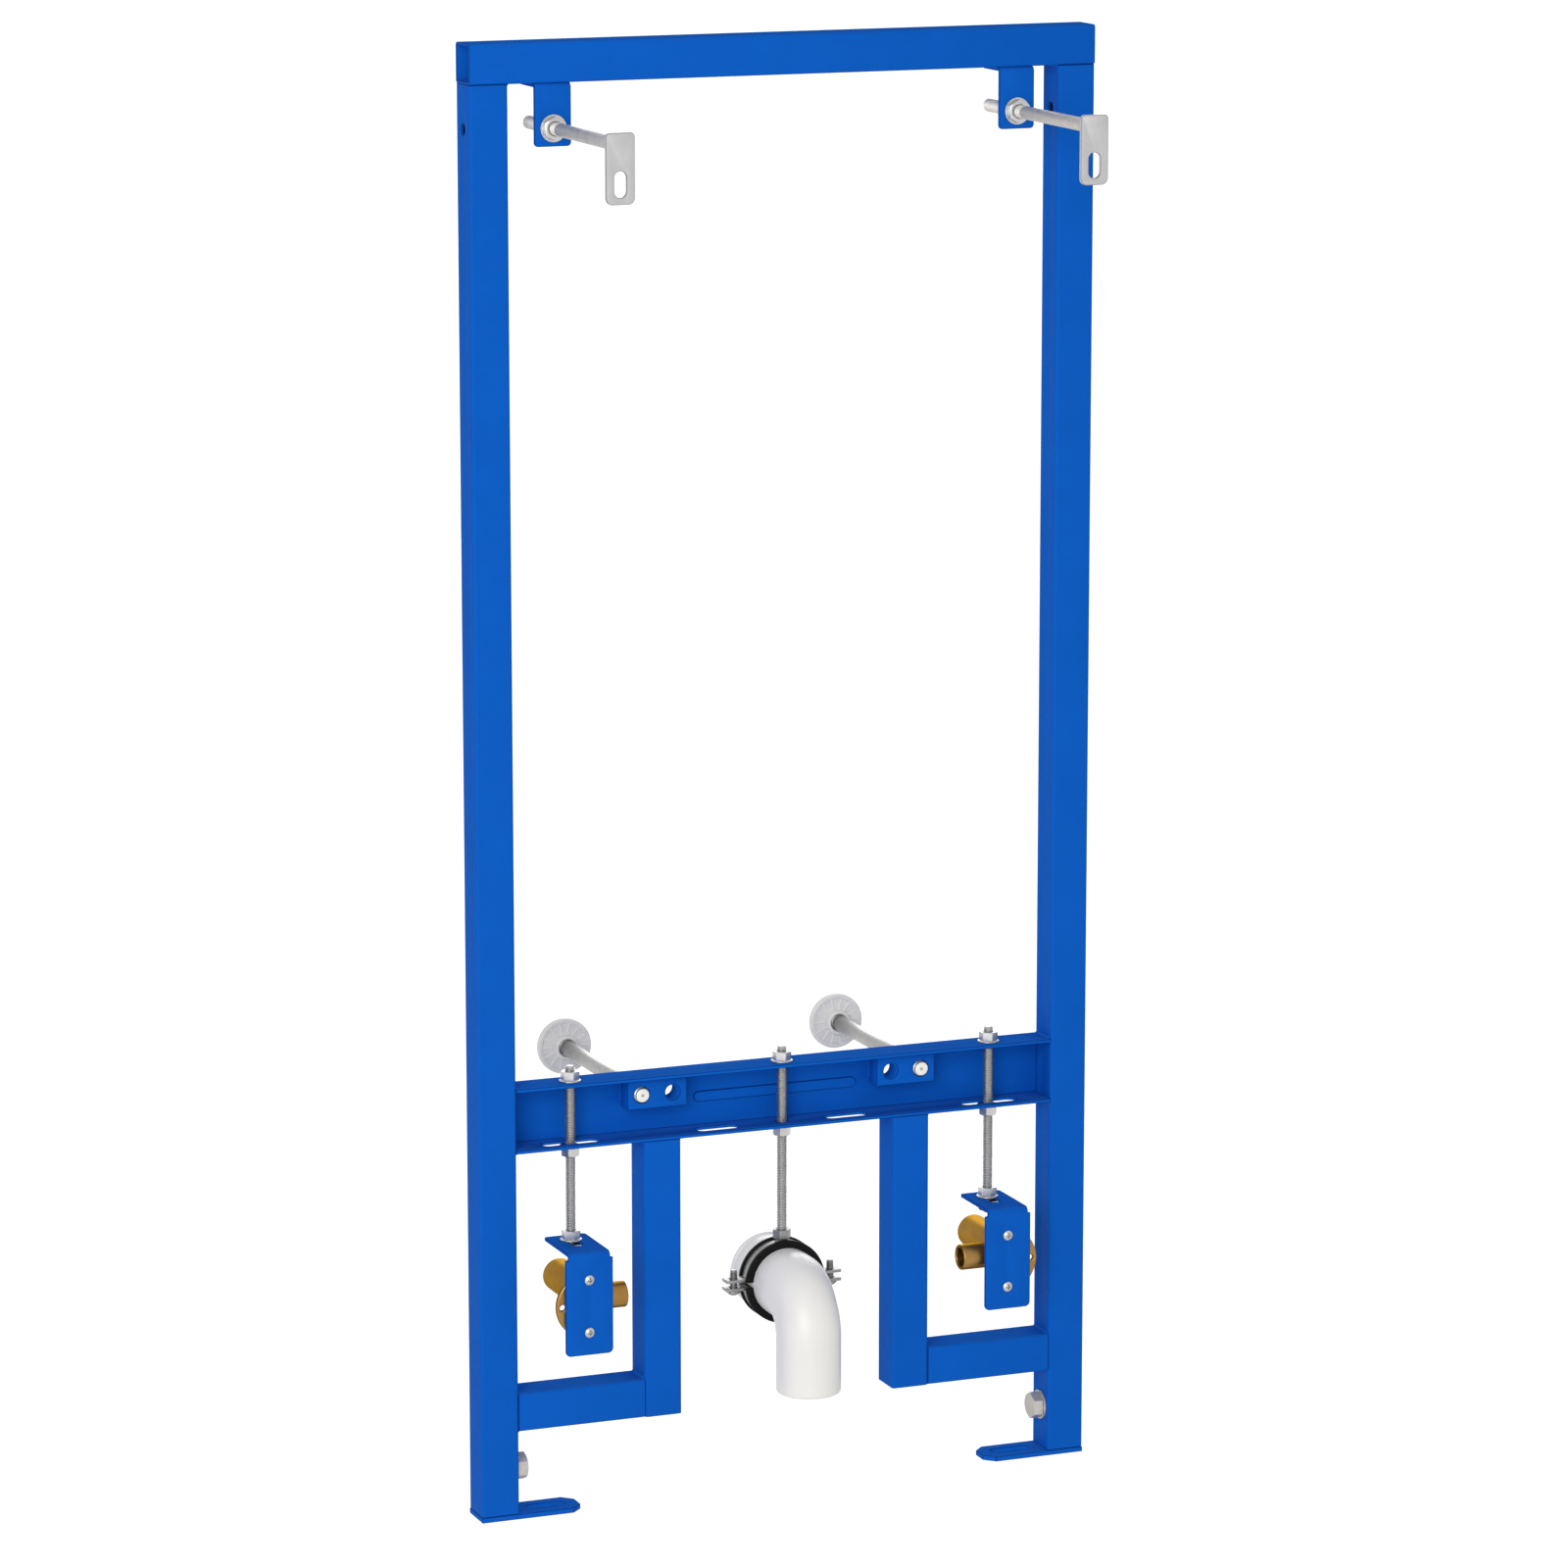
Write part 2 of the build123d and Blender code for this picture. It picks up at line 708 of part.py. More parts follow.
# All nodes by name
def make_nodes():
    nodes = {"top_rail": make_top_rail(), "cross_channel": make_cross_channel()}
    for name, side in (("left", -1), ("right", 1)):
        nodes[name + "_post"] = make_post(side)
        nodes[name + "_inner_leg"] = make_inner_leg(side)
        nodes[name + "_lower_rail"] = make_lower_rail(side)
        nodes[name + "_foot"] = make_foot(side)
        nodes[name + "_foot_bolt"] = make_foot_bolt(side)
        nodes[name + "_stud_bar"] = make_stud_bar(side)
        nodes[name + "_stud"] = make_stud(side)
        nodes[name + "_stud_nuts"] = make_stud_nuts(side)
        nodes[name + "_rosette"] = make_rosette(side)
        nodes[name + "_wall_tab"] = make_wall_tab(side)
        nodes[name + "_wall_rod"] = make_wall_rod(side)
        nodes[name + "_wall_nuts"] = make_wall_nuts(side)
        nodes[name + "_wall_plate"] = make_wall_plate(side)
        rod_bottom = bracket_top - bracket_thickness - hanger_nut_thickness - hanger_nut_flange - 2
        nodes[name + "_hanger_rod"] = make_hanger_rod(side * hanger_side_line, rod_bottom)
        nodes[name + "_hanger_nuts"] = make_side_hanger_nuts(side)
        nodes[name + "_elbow_bracket"] = make_elbow_bracket(side)
        nodes[name + "_brass_elbow"] = make_brass_elbow(side)
        nodes[name + "_elbow_screws"] = make_elbow_screws(side)
    nodes["centre_hanger_rod"] = make_hanger_rod(0, clamp_nut_bottom() + seat_clearance)
    nodes["centre_hanger_nuts"] = make_centre_hanger_nuts()
    nodes["clamp_upper_half"] = make_clamp_upper_half()
    nodes["clamp_lower_half"] = make_clamp_half(False)
    nodes["clamp_rubber"] = make_clamp_rubber()
    nodes["clamp_screws"] = make_clamp_screws()
    nodes["drain_elbow"] = make_drain_elbow()
    return nodes


os.makedirs("parts", exist_ok=True)
for node_name, solid in make_nodes().items():
    export_step(origin_offset * solid, "parts/" + node_name + ".step")
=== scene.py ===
import json
import math

import bmesh
import bpy
from mathutils import Matrix, Vector

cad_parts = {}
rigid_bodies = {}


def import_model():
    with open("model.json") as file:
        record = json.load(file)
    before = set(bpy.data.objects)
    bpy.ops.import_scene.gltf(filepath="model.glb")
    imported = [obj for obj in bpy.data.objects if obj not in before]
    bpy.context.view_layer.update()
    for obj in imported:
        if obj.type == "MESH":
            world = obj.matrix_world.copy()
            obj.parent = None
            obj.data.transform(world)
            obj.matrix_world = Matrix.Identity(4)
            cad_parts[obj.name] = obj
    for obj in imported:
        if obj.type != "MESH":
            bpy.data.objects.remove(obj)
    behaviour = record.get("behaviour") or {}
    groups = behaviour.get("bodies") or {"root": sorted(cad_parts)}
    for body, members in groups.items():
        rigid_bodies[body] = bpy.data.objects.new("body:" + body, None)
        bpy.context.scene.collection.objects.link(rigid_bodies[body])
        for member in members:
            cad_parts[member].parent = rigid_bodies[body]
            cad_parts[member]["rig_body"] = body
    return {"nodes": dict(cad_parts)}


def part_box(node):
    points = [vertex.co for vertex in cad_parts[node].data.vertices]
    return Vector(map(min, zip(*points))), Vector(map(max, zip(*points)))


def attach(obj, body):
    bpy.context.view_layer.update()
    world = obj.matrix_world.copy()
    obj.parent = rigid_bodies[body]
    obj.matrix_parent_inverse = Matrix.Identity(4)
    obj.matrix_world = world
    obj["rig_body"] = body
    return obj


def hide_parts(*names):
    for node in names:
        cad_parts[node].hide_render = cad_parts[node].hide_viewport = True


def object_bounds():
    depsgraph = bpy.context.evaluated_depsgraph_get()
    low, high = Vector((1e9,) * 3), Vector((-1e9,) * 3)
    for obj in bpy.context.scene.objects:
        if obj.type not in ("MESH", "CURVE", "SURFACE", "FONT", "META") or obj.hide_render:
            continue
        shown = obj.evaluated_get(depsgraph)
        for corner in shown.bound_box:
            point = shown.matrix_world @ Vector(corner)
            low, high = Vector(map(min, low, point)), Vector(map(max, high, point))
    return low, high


bl_info = {
    "name": "Bidet Support Frame",
    "version": (1, 0, 0),
    "blender": (4, 5, 0),
    "location": "3D View > Sidebar > Bidet Frame",
    "description": "Dresses the packed bidet support frame with rounded steel, threads, welds and finishes",
    "category": "Object",
}

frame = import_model()
cad_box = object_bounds()

MM = 0.001
SIDES = ("left", "right")
UP = (0, 0, 1)
DOWN = (0, 0, -1)
TO_WALL = (0, 1, 0)
TO_ROOM = (0, -1, 0)
# Shares of a thread's pitch
THREAD_DEPTH = 0.61
THREAD_FOOT = 0.40
THREAD_CREST = 0.07
THREAD_RUN_OUT = 0.6

# Small distances that keep parts of one piece together or apart
OVERLAP = 0.04 * MM
NUT_PLAY = 0.05 * MM
SAME_POINT = 0.002 * MM

# Angles, in degrees, below which two faces count as flat, and above which an edge counts as sharp
FLAT = 1.2
SHARP = 32


# Properties that a user would change
def setting(kind, **limits):
    """Maker of the properties of one kind."""

    def build(name, description, default):
        return kind(name=name, description=description, default=default, **limits)

    return build


colour = setting(bpy.props.FloatVectorProperty, size=3, min=0.0, max=1.0, subtype="COLOR")
metric = setting(bpy.props.FloatProperty, min=0.0, unit="LENGTH", subtype="DISTANCE")
level = setting(bpy.props.FloatProperty, min=0.0, subtype="FACTOR")
bearing = setting(bpy.props.FloatProperty, subtype="ANGLE")
whole = setting(bpy.props.IntProperty, min=3)
focal = setting(bpy.props.FloatProperty, min=1.0, unit="CAMERA")
spot = setting(bpy.props.FloatVectorProperty, subtype="TRANSLATION")


def size(name, description, millimetres):
    return metric(name, description, millimetres * MM)


class FinishColours(bpy.types.PropertyGroup):
    """Colours of the painted, plated, cast and moulded surfaces"""

    paint: colour("Paint", "Blue powder coat of tubes, tabs, feet and brackets", (0.001, 0.096, 0.485))
    # Painted shade: a darker tone of the powder coat laid on the rounded edges, standing in for the shade
    # along them
    paint_edge: colour("Paint edge", "Darker powder coat on rounded edges", (0.0005, 0.04, 0.23))
    paint_dust: colour("Dusty paint", "Powder coat where fine dust lies on it", (0.025, 0.122, 0.48))
    zinc: colour("Bright zinc", "Zinc plating of wall plates, nuts and screws", (0.5, 0.5, 0.5))
    bolt: colour("Bolt zinc", "Dull zinc of the wall rods and the foot bolts", (0.5, 0.475, 0.43))
    rod: colour("Rod steel", "Duller zinc of the hanger rods and bidet studs", (0.4, 0.398, 0.392))
    clamp: colour("Clamp zinc", "Dull zinc of the pipe clamp and its screws", (0.27, 0.27, 0.272))
    cut_end: colour("Cut steel", "Bare bright steel of the cut stud ends", (0.86, 0.85, 0.8))
    brass: colour("Brass", "Raw forged brass of the water elbows", (0.37, 0.232, 0.078))
    drain: colour("Drain plastic", "Pale grey polypropylene of the drain elbow", (0.79, 0.775, 0.75))
    rosette: colour("Rosette plastic", "Grey plastic of the rosettes on the studs", (0.74, 0.72, 0.685))
    rubber: colour("Rubber", "Black rubber of the clamp lining and drain seal", (0.0025, 0.0025, 0.0025))


class SteelSizes(bpy.types.PropertyGroup):
    """Sizes of rounded edges and weld beads"""

    edge_round: size("Edge rounding", "Rounding of the plates and the clamp lining", 0.45)
    tube_edge_round: size("Tube rounding", "Rounding of the tubes and the clamp bands", 0.45)
    weld_radius: size("Weld bead", "Radius of the weld beads in the inside corners", 1.7)
    weld_pitch: size("Weld ripple", "Distance from one weld ripple to the next", 2.4)


class FastenerSizes(bpy.types.PropertyGroup):
    """Sizes of threads, nuts, washers and screw heads"""

    stud_pitch: size("Stud thread pitch", "Pitch of the M12 bidet studs", 1.75)
    stud_nut_flats: size("Stud nut flats", "Width across flats of the stud nuts", 19.0)
    stud_nut_height: size("Stud nut height", "Height of the stud nuts", 10.0)
    tie_pitch: size("Wall rod thread pitch", "Pitch of the M10 wall rods", 1.5)
    tie_nut_flats: size("Wall nut flats", "Width across flats of the wall rod nuts", 16.0)
    tie_nut_height: size("Wall nut height", "Height of the wall rod nuts", 5.0)
    tie_washer_height: size("Wall washer", "Thickness of the wall rod washers", 1.6)
    hanger_pitch: size("Hanger thread pitch", "Pitch of the M8 hanger rods", 1.25)
    hanger_nut_flats: size("Hanger nut flats", "Width across flats of the flange nuts", 13.0)
    hanger_nut_height: size("Hanger nut height", "Height of the flange nuts above their flange", 6.5)
    hanger_flange: size("Nut flange", "Thickness of the flange under the hanger nuts", 1.5)
    foot_bolt_flats: size("Foot bolt flats", "Width across flats of the locking bolts of the feet", 19.0)
    foot_bolt_head: size("Foot bolt head", "Height of the foot bolt heads", 8.0)
    foot_bolt_washer: size("Foot bolt washer", "Thickness of the foot bolt washers", 1.5)
    clamp_pitch: size("Clamp thread pitch", "Pitch of the M6 clamp screws", 1.0)
    recess_reach: size("Screw recess reach", "Length of the arms of the cross recess", 2.1)
    recess_width: size("Screw recess width", "Half the width of the arms of the cross recess", 0.42)


class MouldSizes(bpy.types.PropertyGroup):
    """Sizes of the moulded rosettes and drain elbow and of the forged water elbows"""

    rosette_ribs: whole("Rosette ribs", "Number of ribs on a rosette's wall side", 14)
    rosette_rib_width: size("Rosette rib width", "Width of one rosette rib", 2.0)
    rosette_cell_depth: size("Rosette cell depth", "Depth of the cells between a rosette's ribs", 0.9)
    drain_radius: size("Drain pipe radius", "Outer radius of the drain pipe", 25.0)
    drain_grip_radius: size("Drain grip radius", "Outer radius of the drain pipe under the clamp", 26.8)
    drain_wall: size("Drain pipe wall", "Wall thickness of the drain pipe", 2.0)
    drain_bend: size("Drain bend radius", "Radius of the drain elbow's bend on its middle line", 32.0)
    socket_radius: size("Drain socket radius", "Outer radius of the drain socket", 30.0)
    socket_length: size("Drain socket length", "Length of the drain socket", 21.0)
    cast_voxel: size("Forging fineness", "Cell size of the forged brass skin", 0.62)
    port_rise: size("Elbow port rise", "Height of the threaded port above the middle of its flange", 7.5)


class StageLevels(bpy.types.PropertyGroup):
    """Lamps, sky and camera"""

    sky: level("Sky level", "Even light from all round", 0.62)
    lamp: level("Lamp level", "Light of the large lamp behind the camera", 0.5)
    fill: level("Fill level", "Light of the lamp on the bidet side", 0.3)
    floor_drop: size("Floor drop", "From the resting feet to the floor, so that they can slide out", 200.2)
    floor_shadow: level("Floor shadow", "How strongly shadows show on the white floor", 0.3)
    lens: focal("Lens", "Focal length for a 36 mm sensor", 148.5)
    camera_place: spot("Camera place", "Where the camera stands", (1.9825, 4.3139, 0.4465))
    camera_turn: bearing("Camera turn", "Angle from the wall's square", math.radians(21.931))
    camera_tilt: bearing("Camera tilt", "Angle below the horizon", math.radians(11.177))


# Outlines and rings
def soften(outline, radius):
    """Closed outline with every corner rounded, by less than half of its shorter side."""
    most = 0.45
    steps = 3
    soft = []
    for index, corner in enumerate(outline):
        corner = Vector(corner)
        before = Vector(outline[index - 1]) - corner
        after = Vector(outline[(index + 1) % len(outline)]) - corner
        cut = min(radius, before.length * most, after.length * most)
        start = corner + before.normalized() * cut
        finish = corner + after.normalized() * cut
        for step in range(steps + 1):
            part = step / steps
            soft.append(start * (1 - part) ** 2 + corner * 2 * part * (1 - part) + finish * part ** 2)
    return [tuple(point) for point in soft]


def around(count, radius_at, height_at):
    ring = []
    for step in range(count):
        angle = math.tau * step / count
        radius = radius_at(angle)
        ring.append((radius * math.cos(angle), radius * math.sin(angle), height_at(angle)))
    return ring


def near(first, second, *offsets):
    """Profile points, each given in millimetres from one point."""
    return [(first + one * MM, second + other * MM) for one, other in offsets]


def circle(radius, height, count=48):
    return around(count, lambda angle: radius, lambda angle: height)


class Shape:
    """A mesh in the making, drawn about its own upright axis and set down where it stands"""

    def __init__(self, origin=(0, 0, 0), direction=UP):
        self.bm = bmesh.new()
        self.stand(origin, direction)

    def stand(self, origin, direction=UP):
        turn = Vector(UP).rotation_difference(Vector(direction)).to_matrix().to_4x4()
        self.place = Matrix.Translation(origin) @ turn

    def skin(self, rings, loop=False):
        """Faces from ring to ring; a loop joins the last to the first, or else both ends are capped."""
        rows = [[self.bm.verts.new(self.place @ Vector(point)) for point in ring] for ring in rings]
        pairs = list(zip(rows, rows[1:]))
        if loop:
            pairs.append((rows[-1], rows[0]))
        else:
            self.bm.faces.new(rows[0][::-1])
            self.bm.faces.new(rows[-1])
        for low, high in pairs:
            for quad in zip(low, low[1:] + low[:1], high[1:] + high[:1], high):
                self.bm.faces.new(quad)

    def turned(self, profile, hollow=True, count=48, soft=0.0):
        """Body turned from (radius, height) points; a hollow one closes on itself."""
        if soft:
            profile = soften(profile, soft)
        self.skin([circle(radius, height, count) for radius, height in profile], loop=hollow)

    def washer(self, radius, bore, low, high, edge=0.25 * MM):
        self.turned([(bore, low), (radius, low), (radius, high), (bore, high)], soft=edge)

    def rod(self, radius, low, high, chamfer):
        lower = [(radius - chamfer, low), (radius, low + chamfer)]
        upper = [(radius, high - chamfer), (radius - chamfer, high)]
        self.turned(lower + upper, hollow=False, count=32)

    def hexagon(self, flats, low, high, bore=None, seat=False, turn=0.0):
        """Hexagon whose corners are cut by a cone at the top, and at the bottom unless it is a seat."""
        count = 60
        half = flats / 2
        flat_circle = half * 0.955
        corner = half * 1.135

        def outline(angle):
            across = (angle + turn + math.pi / 6) % (math.pi / 3) - math.pi / 6
            return min(half / math.cos(across), corner)

        def cone(angle):
            return (outline(angle) - flat_circle) * math.tan(math.radians(30))

        rings = [
            circle(flat_circle, low, count),
            around(count, outline, lambda angle: low if seat else low + cone(angle)),
            around(count, outline, lambda angle: high - cone(angle)),
            circle(flat_circle, high, count),
        ]
        if bore is None:
            dish = [circle(half * 0.72, high, count), circle(half * 0.6, high - 0.35 * MM, count)]
            self.skin(rings + dish)
            return
        lead = 0.5 * MM
        inside = [circle(bore, low + lead, count), circle(bore + lead, low, count)]
        mouth = [circle(bore + lead, high, count), circle(bore, high - lead, count)]
        self.skin(inside + rings + mouth, loop=True)

    def thread(self, radius, pitch, low, high, inward=False, count=20):
        """Closed helical ridge of a metric thread, fading out at both ends."""
        depth = THREAD_DEPTH * pitch
        crest = radius - depth if inward else radius
        root = radius + OVERLAP if inward else radius - depth - OVERLAP
        sections = int((high - low) / pitch * count)
        fade_turns = 0.7
        rings = []
        for step in range(sections + 1):
            angle = math.tau * step / count
            fade = min(1.0, step / count / fade_turns, (sections - step) / count / fade_turns)
            tip = root + (crest - root) * max(fade, 0.02)
            height = low + pitch * step / count
            across = Vector((math.cos(angle), math.sin(angle), 0))
            lower = ((root, -THREAD_FOOT), (tip, -THREAD_CREST))
            upper = ((tip, THREAD_CREST), (root, THREAD_FOOT))
            section = [(reach, height + pitch * rise) for reach, rise in lower + upper]
            rings.append([across * reach + Vector(UP) * rise for reach, rise in section])
        self.skin(rings)

    def threaded_rod(self, radius, pitch, low, high, spans):
        """Rod with a thread on each span and a plain shank between them."""
        root = radius - THREAD_DEPTH * pitch
        chamfer = 0.5 * pitch
        profile = []
        for start, finish in spans:
            if profile:
                profile += [(radius, start - pitch)]
            elif start > low:
                profile += [(radius - chamfer, low), (radius, low + chamfer), (radius, start - pitch)]
            else:
                profile += [(root - chamfer, low), (root, low + chamfer)]
            profile += [(root, max(start, low + chamfer)), (root, finish)]
            if finish < high:
                profile += [(radius, finish + pitch)]
        if spans[-1][1] < high:
            profile += [(radius, high - chamfer), (radius - chamfer, high)]
        else:
            profile[-1] = (root, high - chamfer)
            profile += [(root - chamfer, high)]
        self.turned(profile, hollow=False, count=32)
        run_out = THREAD_RUN_OUT * pitch
        for start, finish in spans:
            self.thread(radius, pitch, start + run_out, finish - run_out)

    def bead(self, start, finish, radius, pitch):
        """Weld bead along a straight corner, rippled and domed at both ends."""
        start = Vector(start)
        run = Vector(finish) - start
        self.stand(start, run)
        ripples = max(3, round(run.length / pitch))
        rings = []
        for step in range(ripples * 4 + 1):
            part = step / (ripples * 4)
            ripple = 1 + 0.09 * math.cos(math.tau * step / 4)
            dome = math.sqrt(max(0.04, 1 - abs(2 * part - 1) ** 14))
            rings.append(circle(radius * ripple * dome, run.length * part, 10))
        self.skin(rings)

    def cross_head(self, radius, height, reach, width):
        """Domed screw head with a cross recess."""
        count = 64
        base = 0.25 * height
        rings = [circle(radius * 0.98, 0, count), circle(radius, base * 0.3, count)]
        levels = 22
        slope_width = width * 1.25
        for step in range(levels + 1):
            across = radius * (1 - step / levels * 0.985)
            dome = base + (height - base) * (1 - (across / radius) ** 2.6)

            def drop(angle, across=across):
                side = min(abs(across * math.sin(angle)), abs(across * math.cos(angle)))
                if across > reach or side > slope_width:
                    return 0.0
                edge = min(1.0, (slope_width - side) / (width * 0.35))
                return edge * height * 0.75 * min(1.0, (reach - across) / (reach * 0.45))

            rings.append(around(count, lambda angle: across, lambda angle: dome - drop(angle)))
        self.skin(rings)


def put_in_scene(name, data):
    made = bpy.data.objects.new(name, data)
    bpy.context.scene.collection.objects.link(made)
    return made


def put_mesh_in_scene(name, bm, material):
    mesh = bpy.data.meshes.new(name)
    bm.to_mesh(mesh)
    bm.free()
    mesh.materials.append(material)
    return put_in_scene(name, mesh)


def make_piece(name, shape, finish, nodes, crease=SHARP):
    """Puts a finished shape in the scene on the body of its CAD nodes."""
    bmesh.ops.recalc_face_normals(shape.bm, faces=shape.bm.faces)
    piece = put_mesh_in_scene(name, shape.bm, FINISHES[finish]())
    mesh = piece.data
    mesh.polygons.foreach_set("use_smooth", [True] * len(mesh.polygons))
    mesh.set_sharp_from_angle(angle=math.radians(crease))
    # Second material: painted shade on the rounded edges
    if finish + " edge" in FINISHES:
        mesh.materials.append(FINISHES[finish + " edge"]())
    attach(piece, frame["nodes"][nodes[0]]["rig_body"])
    return piece


def stand_in(name, shape, finish, slot, *nodes, crease=SHARP):
    """Makes a piece that takes the place of its CAD nodes."""
    piece = make_piece(name, shape, finish, nodes, crease)
    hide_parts(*nodes)


def rounded(node, width, steps=2, edge_shade_slot=0):
    """Shape of a CAD node, its flat faces joined and its sharp edges rounded into the given material slot,
    where the edge material paints shade on them.
    """
    shape = Shape()
    bm = shape.bm
    bm.from_mesh(frame["nodes"][node].data)
    bmesh.ops.remove_doubles(bm, verts=bm.verts, dist=SAME_POINT)
    bmesh.ops.dissolve_limit(bm, angle_limit=math.radians(FLAT), verts=bm.verts, edges=bm.edges)
    joints = [edge for edge in bm.edges if len(edge.link_faces) == 2]
    sharp = [edge for edge in joints if edge.calc_face_angle() > math.radians(SHARP)]
    rounding = dict(offset=width, offset_type="OFFSET", segments=steps, profile=0.5, miter_outer="ARC")
    bmesh.ops.bevel(
        bm, geom=sharp, material=edge_shade_slot, affect="EDGES", clamp_overlap=False, **rounding
    )
    return shape


def extent(node):
    """Low corner, high corner and centre of a CAD node's box."""
    low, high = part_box(node)
    return low, high, (low + high) / 2


def both(*nodes):
    return [side + "_" + node for node in nodes for side in SIDES]


# Shader node groups shared by the finishes
def lay(tree, kind, inputs=(), **settings):
    """Adds a shader node, sets it and joins its inputs."""
    made = tree.nodes.new(kind)
    for name, value in settings.items():
        setattr(made, name, value)
    for key, value in dict(inputs).items():
        if isinstance(value, bpy.types.NodeSocket):
            tree.links.new(value, made.inputs[key])
        else:
            made.inputs[key].default_value = value
    return made


def reckon(tree, operation, *values, clamp=False):
    """Result of one sum on sockets and numbers."""
    settings = dict(operation=operation, use_clamp=clamp)
    return lay(tree, "ShaderNodeMath", dict(enumerate(values)), **settings).outputs[0]


def ranged(tree, value, low=0.0, high=1.0, least=0.0, most=1.0, kind="LINEAR"):
    """A value between low and high spread out from the least to the most."""
    limits = {"Value": value, "From Min": low, "From Max": high, "To Min": least, "To Max": most}
    return lay(tree, "ShaderNodeMapRange", limits, interpolation_type=kind).outputs[0]


def grain(tree, scale, contrast):
    """Even noise between 0 and 1, finer where the scale is larger, which may differ along the axes."""
    spread = (scale,) * 3 if isinstance(scale, float) else scale
    return shared(tree, "Grain", {"Scale": spread, "Contrast": contrast})


def build_grain(tree, given):
    """Noise in the object's own space, pulled about its middle value by the contrast."""
    place = lay(tree, "ShaderNodeTexCoord").outputs["Object"]
    spread = lay(tree, "ShaderNodeVectorMath", {0: place, 1: given["Scale"]}, operation="MULTIPLY").outputs[0]
    noise = lay(tree, "ShaderNodeTexNoise", {"Vector": spread, "Scale": 1.0, "Detail": 3.0}).outputs["Fac"]
    centred = reckon(tree, "SUBTRACT", noise, 0.5)
    return reckon(tree, "MULTIPLY_ADD", centred, given["Contrast"], 0.5, clamp=True)


def build_edge_wear(tree, given):
    """Mask of the rounded edges, broken up by noise."""
    proud = lay(tree, "ShaderNodeNewGeometry").outputs["Pointiness"]
    over = reckon(tree, "SUBTRACT", proud, 0.52)
    gained = reckon(tree, "MULTIPLY", over, given["Gain"], clamp=True)
    gaps = reckon(tree, "MULTIPLY", grain(tree, 260.0, 3.0), given["Break-up"])
    return reckon(tree, "MULTIPLY", gained, reckon(tree, "SUBTRACT", 1.0, gaps))


def build_dust(tree, given):
    """Mask of the surfaces that look up, mottled by noise."""
    normal = lay(tree, "ShaderNodeNewGeometry").outputs["Normal"]
    facing = lay(tree, "ShaderNodeSeparateXYZ", {0: normal}).outputs["Z"]
    upward = ranged(tree, facing, 0.55, 0.98, kind="SMOOTHSTEP")
    mottled = reckon(tree, "MULTIPLY_ADD", grain(tree, 45.0, 1.6), 0.5, 0.5)
    return reckon(tree, "MULTIPLY", reckon(tree, "MULTIPLY", upward, mottled), given["Amount"])


NODE_GROUPS = {
    "Grain": (build_grain, {"Scale": (500.0, 500.0, 500.0), "Contrast": 1.0}),
    "Edge Wear": (build_edge_wear, {"Gain": 6.0, "Break-up": 0.5}),
    "Dust": (build_dust, {"Amount": 0.5}),
}


def new_group(name):
    build, inputs = NODE_GROUPS[name]
    tree = bpy.data.node_groups.new(name, "ShaderNodeTree")
    for socket, default in inputs.items():
        kind = "NodeSocketVector" if isinstance(default, tuple) else "NodeSocketFloat"
        made = tree.interface.new_socket(name=socket, in_out="INPUT", socket_type=kind)
        made.default_value = default
    tree.interface.new_socket(name="Value", in_out="OUTPUT", socket_type="NodeSocketFloat")
    result = build(tree, tree.nodes.new("NodeGroupInput").outputs)
    tree.links.new(result, tree.nodes.new("NodeGroupOutput").inputs["Value"])
    return tree


def shared(tree, name, inputs):
    """Adds a shared node group, made at its first use, and gives its value."""
    group = bpy.data.node_groups.get(name) or new_group(name)
    return lay(tree, "ShaderNodeGroup", inputs, node_tree=group).outputs["Value"]


def mix(tree, share, first, second):
    """Blend of two colours, each a socket or three numbers."""
    inputs = {0: share}
    for place, value in ((6, first), (7, second)):
        inputs[place] = value if isinstance(value, bpy.types.NodeSocket) else (*value, 1.0)
    return lay(tree, "ShaderNodeMix", inputs, data_type="RGBA").outputs[2]


def tone(base, share):
    """A share of a property colour, the name of another one, or a colour of its own."""
    colours = bpy.context.scene.bidet_frame_colours
    if isinstance(share, tuple):
        return share
    if isinstance(share, str):
        return tuple(getattr(colours, share))
    return tuple(min(1.0, part * share) for part in getattr(colours, base))


def new_material(name):
    material = bpy.data.materials.new(name)
    material.use_nodes = True
    return material, material.node_tree, material.node_tree.nodes["Principled BSDF"]


def look(name, base, clouds, rough, bumps, wear=None, dusty=None, **fixed):
    """Maker of one material; each grain has a scale, a contrast and the two limits of what it varies."""

    def build():
        if name in bpy.data.materials:
            return bpy.data.materials[name]
        material, tree, principled = new_material(name)
        shader = principled.inputs
        for socket, value in fixed.items():
            shader[socket.replace("_", " ")].default_value = value
        scale, contrast, dark, light = clouds
        surface = mix(tree, grain(tree, scale, contrast), tone(base, dark), tone(base, light))
        if wear:
            gain, gaps, bare = wear
            edges = shared(tree, "Edge Wear", {"Gain": gain, "Break-up": gaps})
            surface = mix(tree, edges, surface, tone(base, bare))
        if dusty:
            surface = mix(tree, shared(tree, "Dust", {"Amount": 0.6}), surface, tone(base, dusty))
            upward = shared(tree, "Dust", {"Amount": 2.0})
            tree.links.new(ranged(tree, upward, least=0.08, most=0.0), shader["Specular IOR Level"])
        tree.links.new(surface, shader["Base Color"])
        scale, contrast, least, most = rough
        roughness = ranged(tree, grain(tree, scale, contrast), least=least, most=most)
        tree.links.new(roughness, shader["Roughness"])
        scale, contrast, strength, depth = bumps
        relief = {"Strength": strength, "Distance": depth * MM, "Height": grain(tree, scale, contrast)}
        tree.links.new(lay(tree, "ShaderNodeBump", relief).outputs[0], shader["Normal"])
        return material

    return build


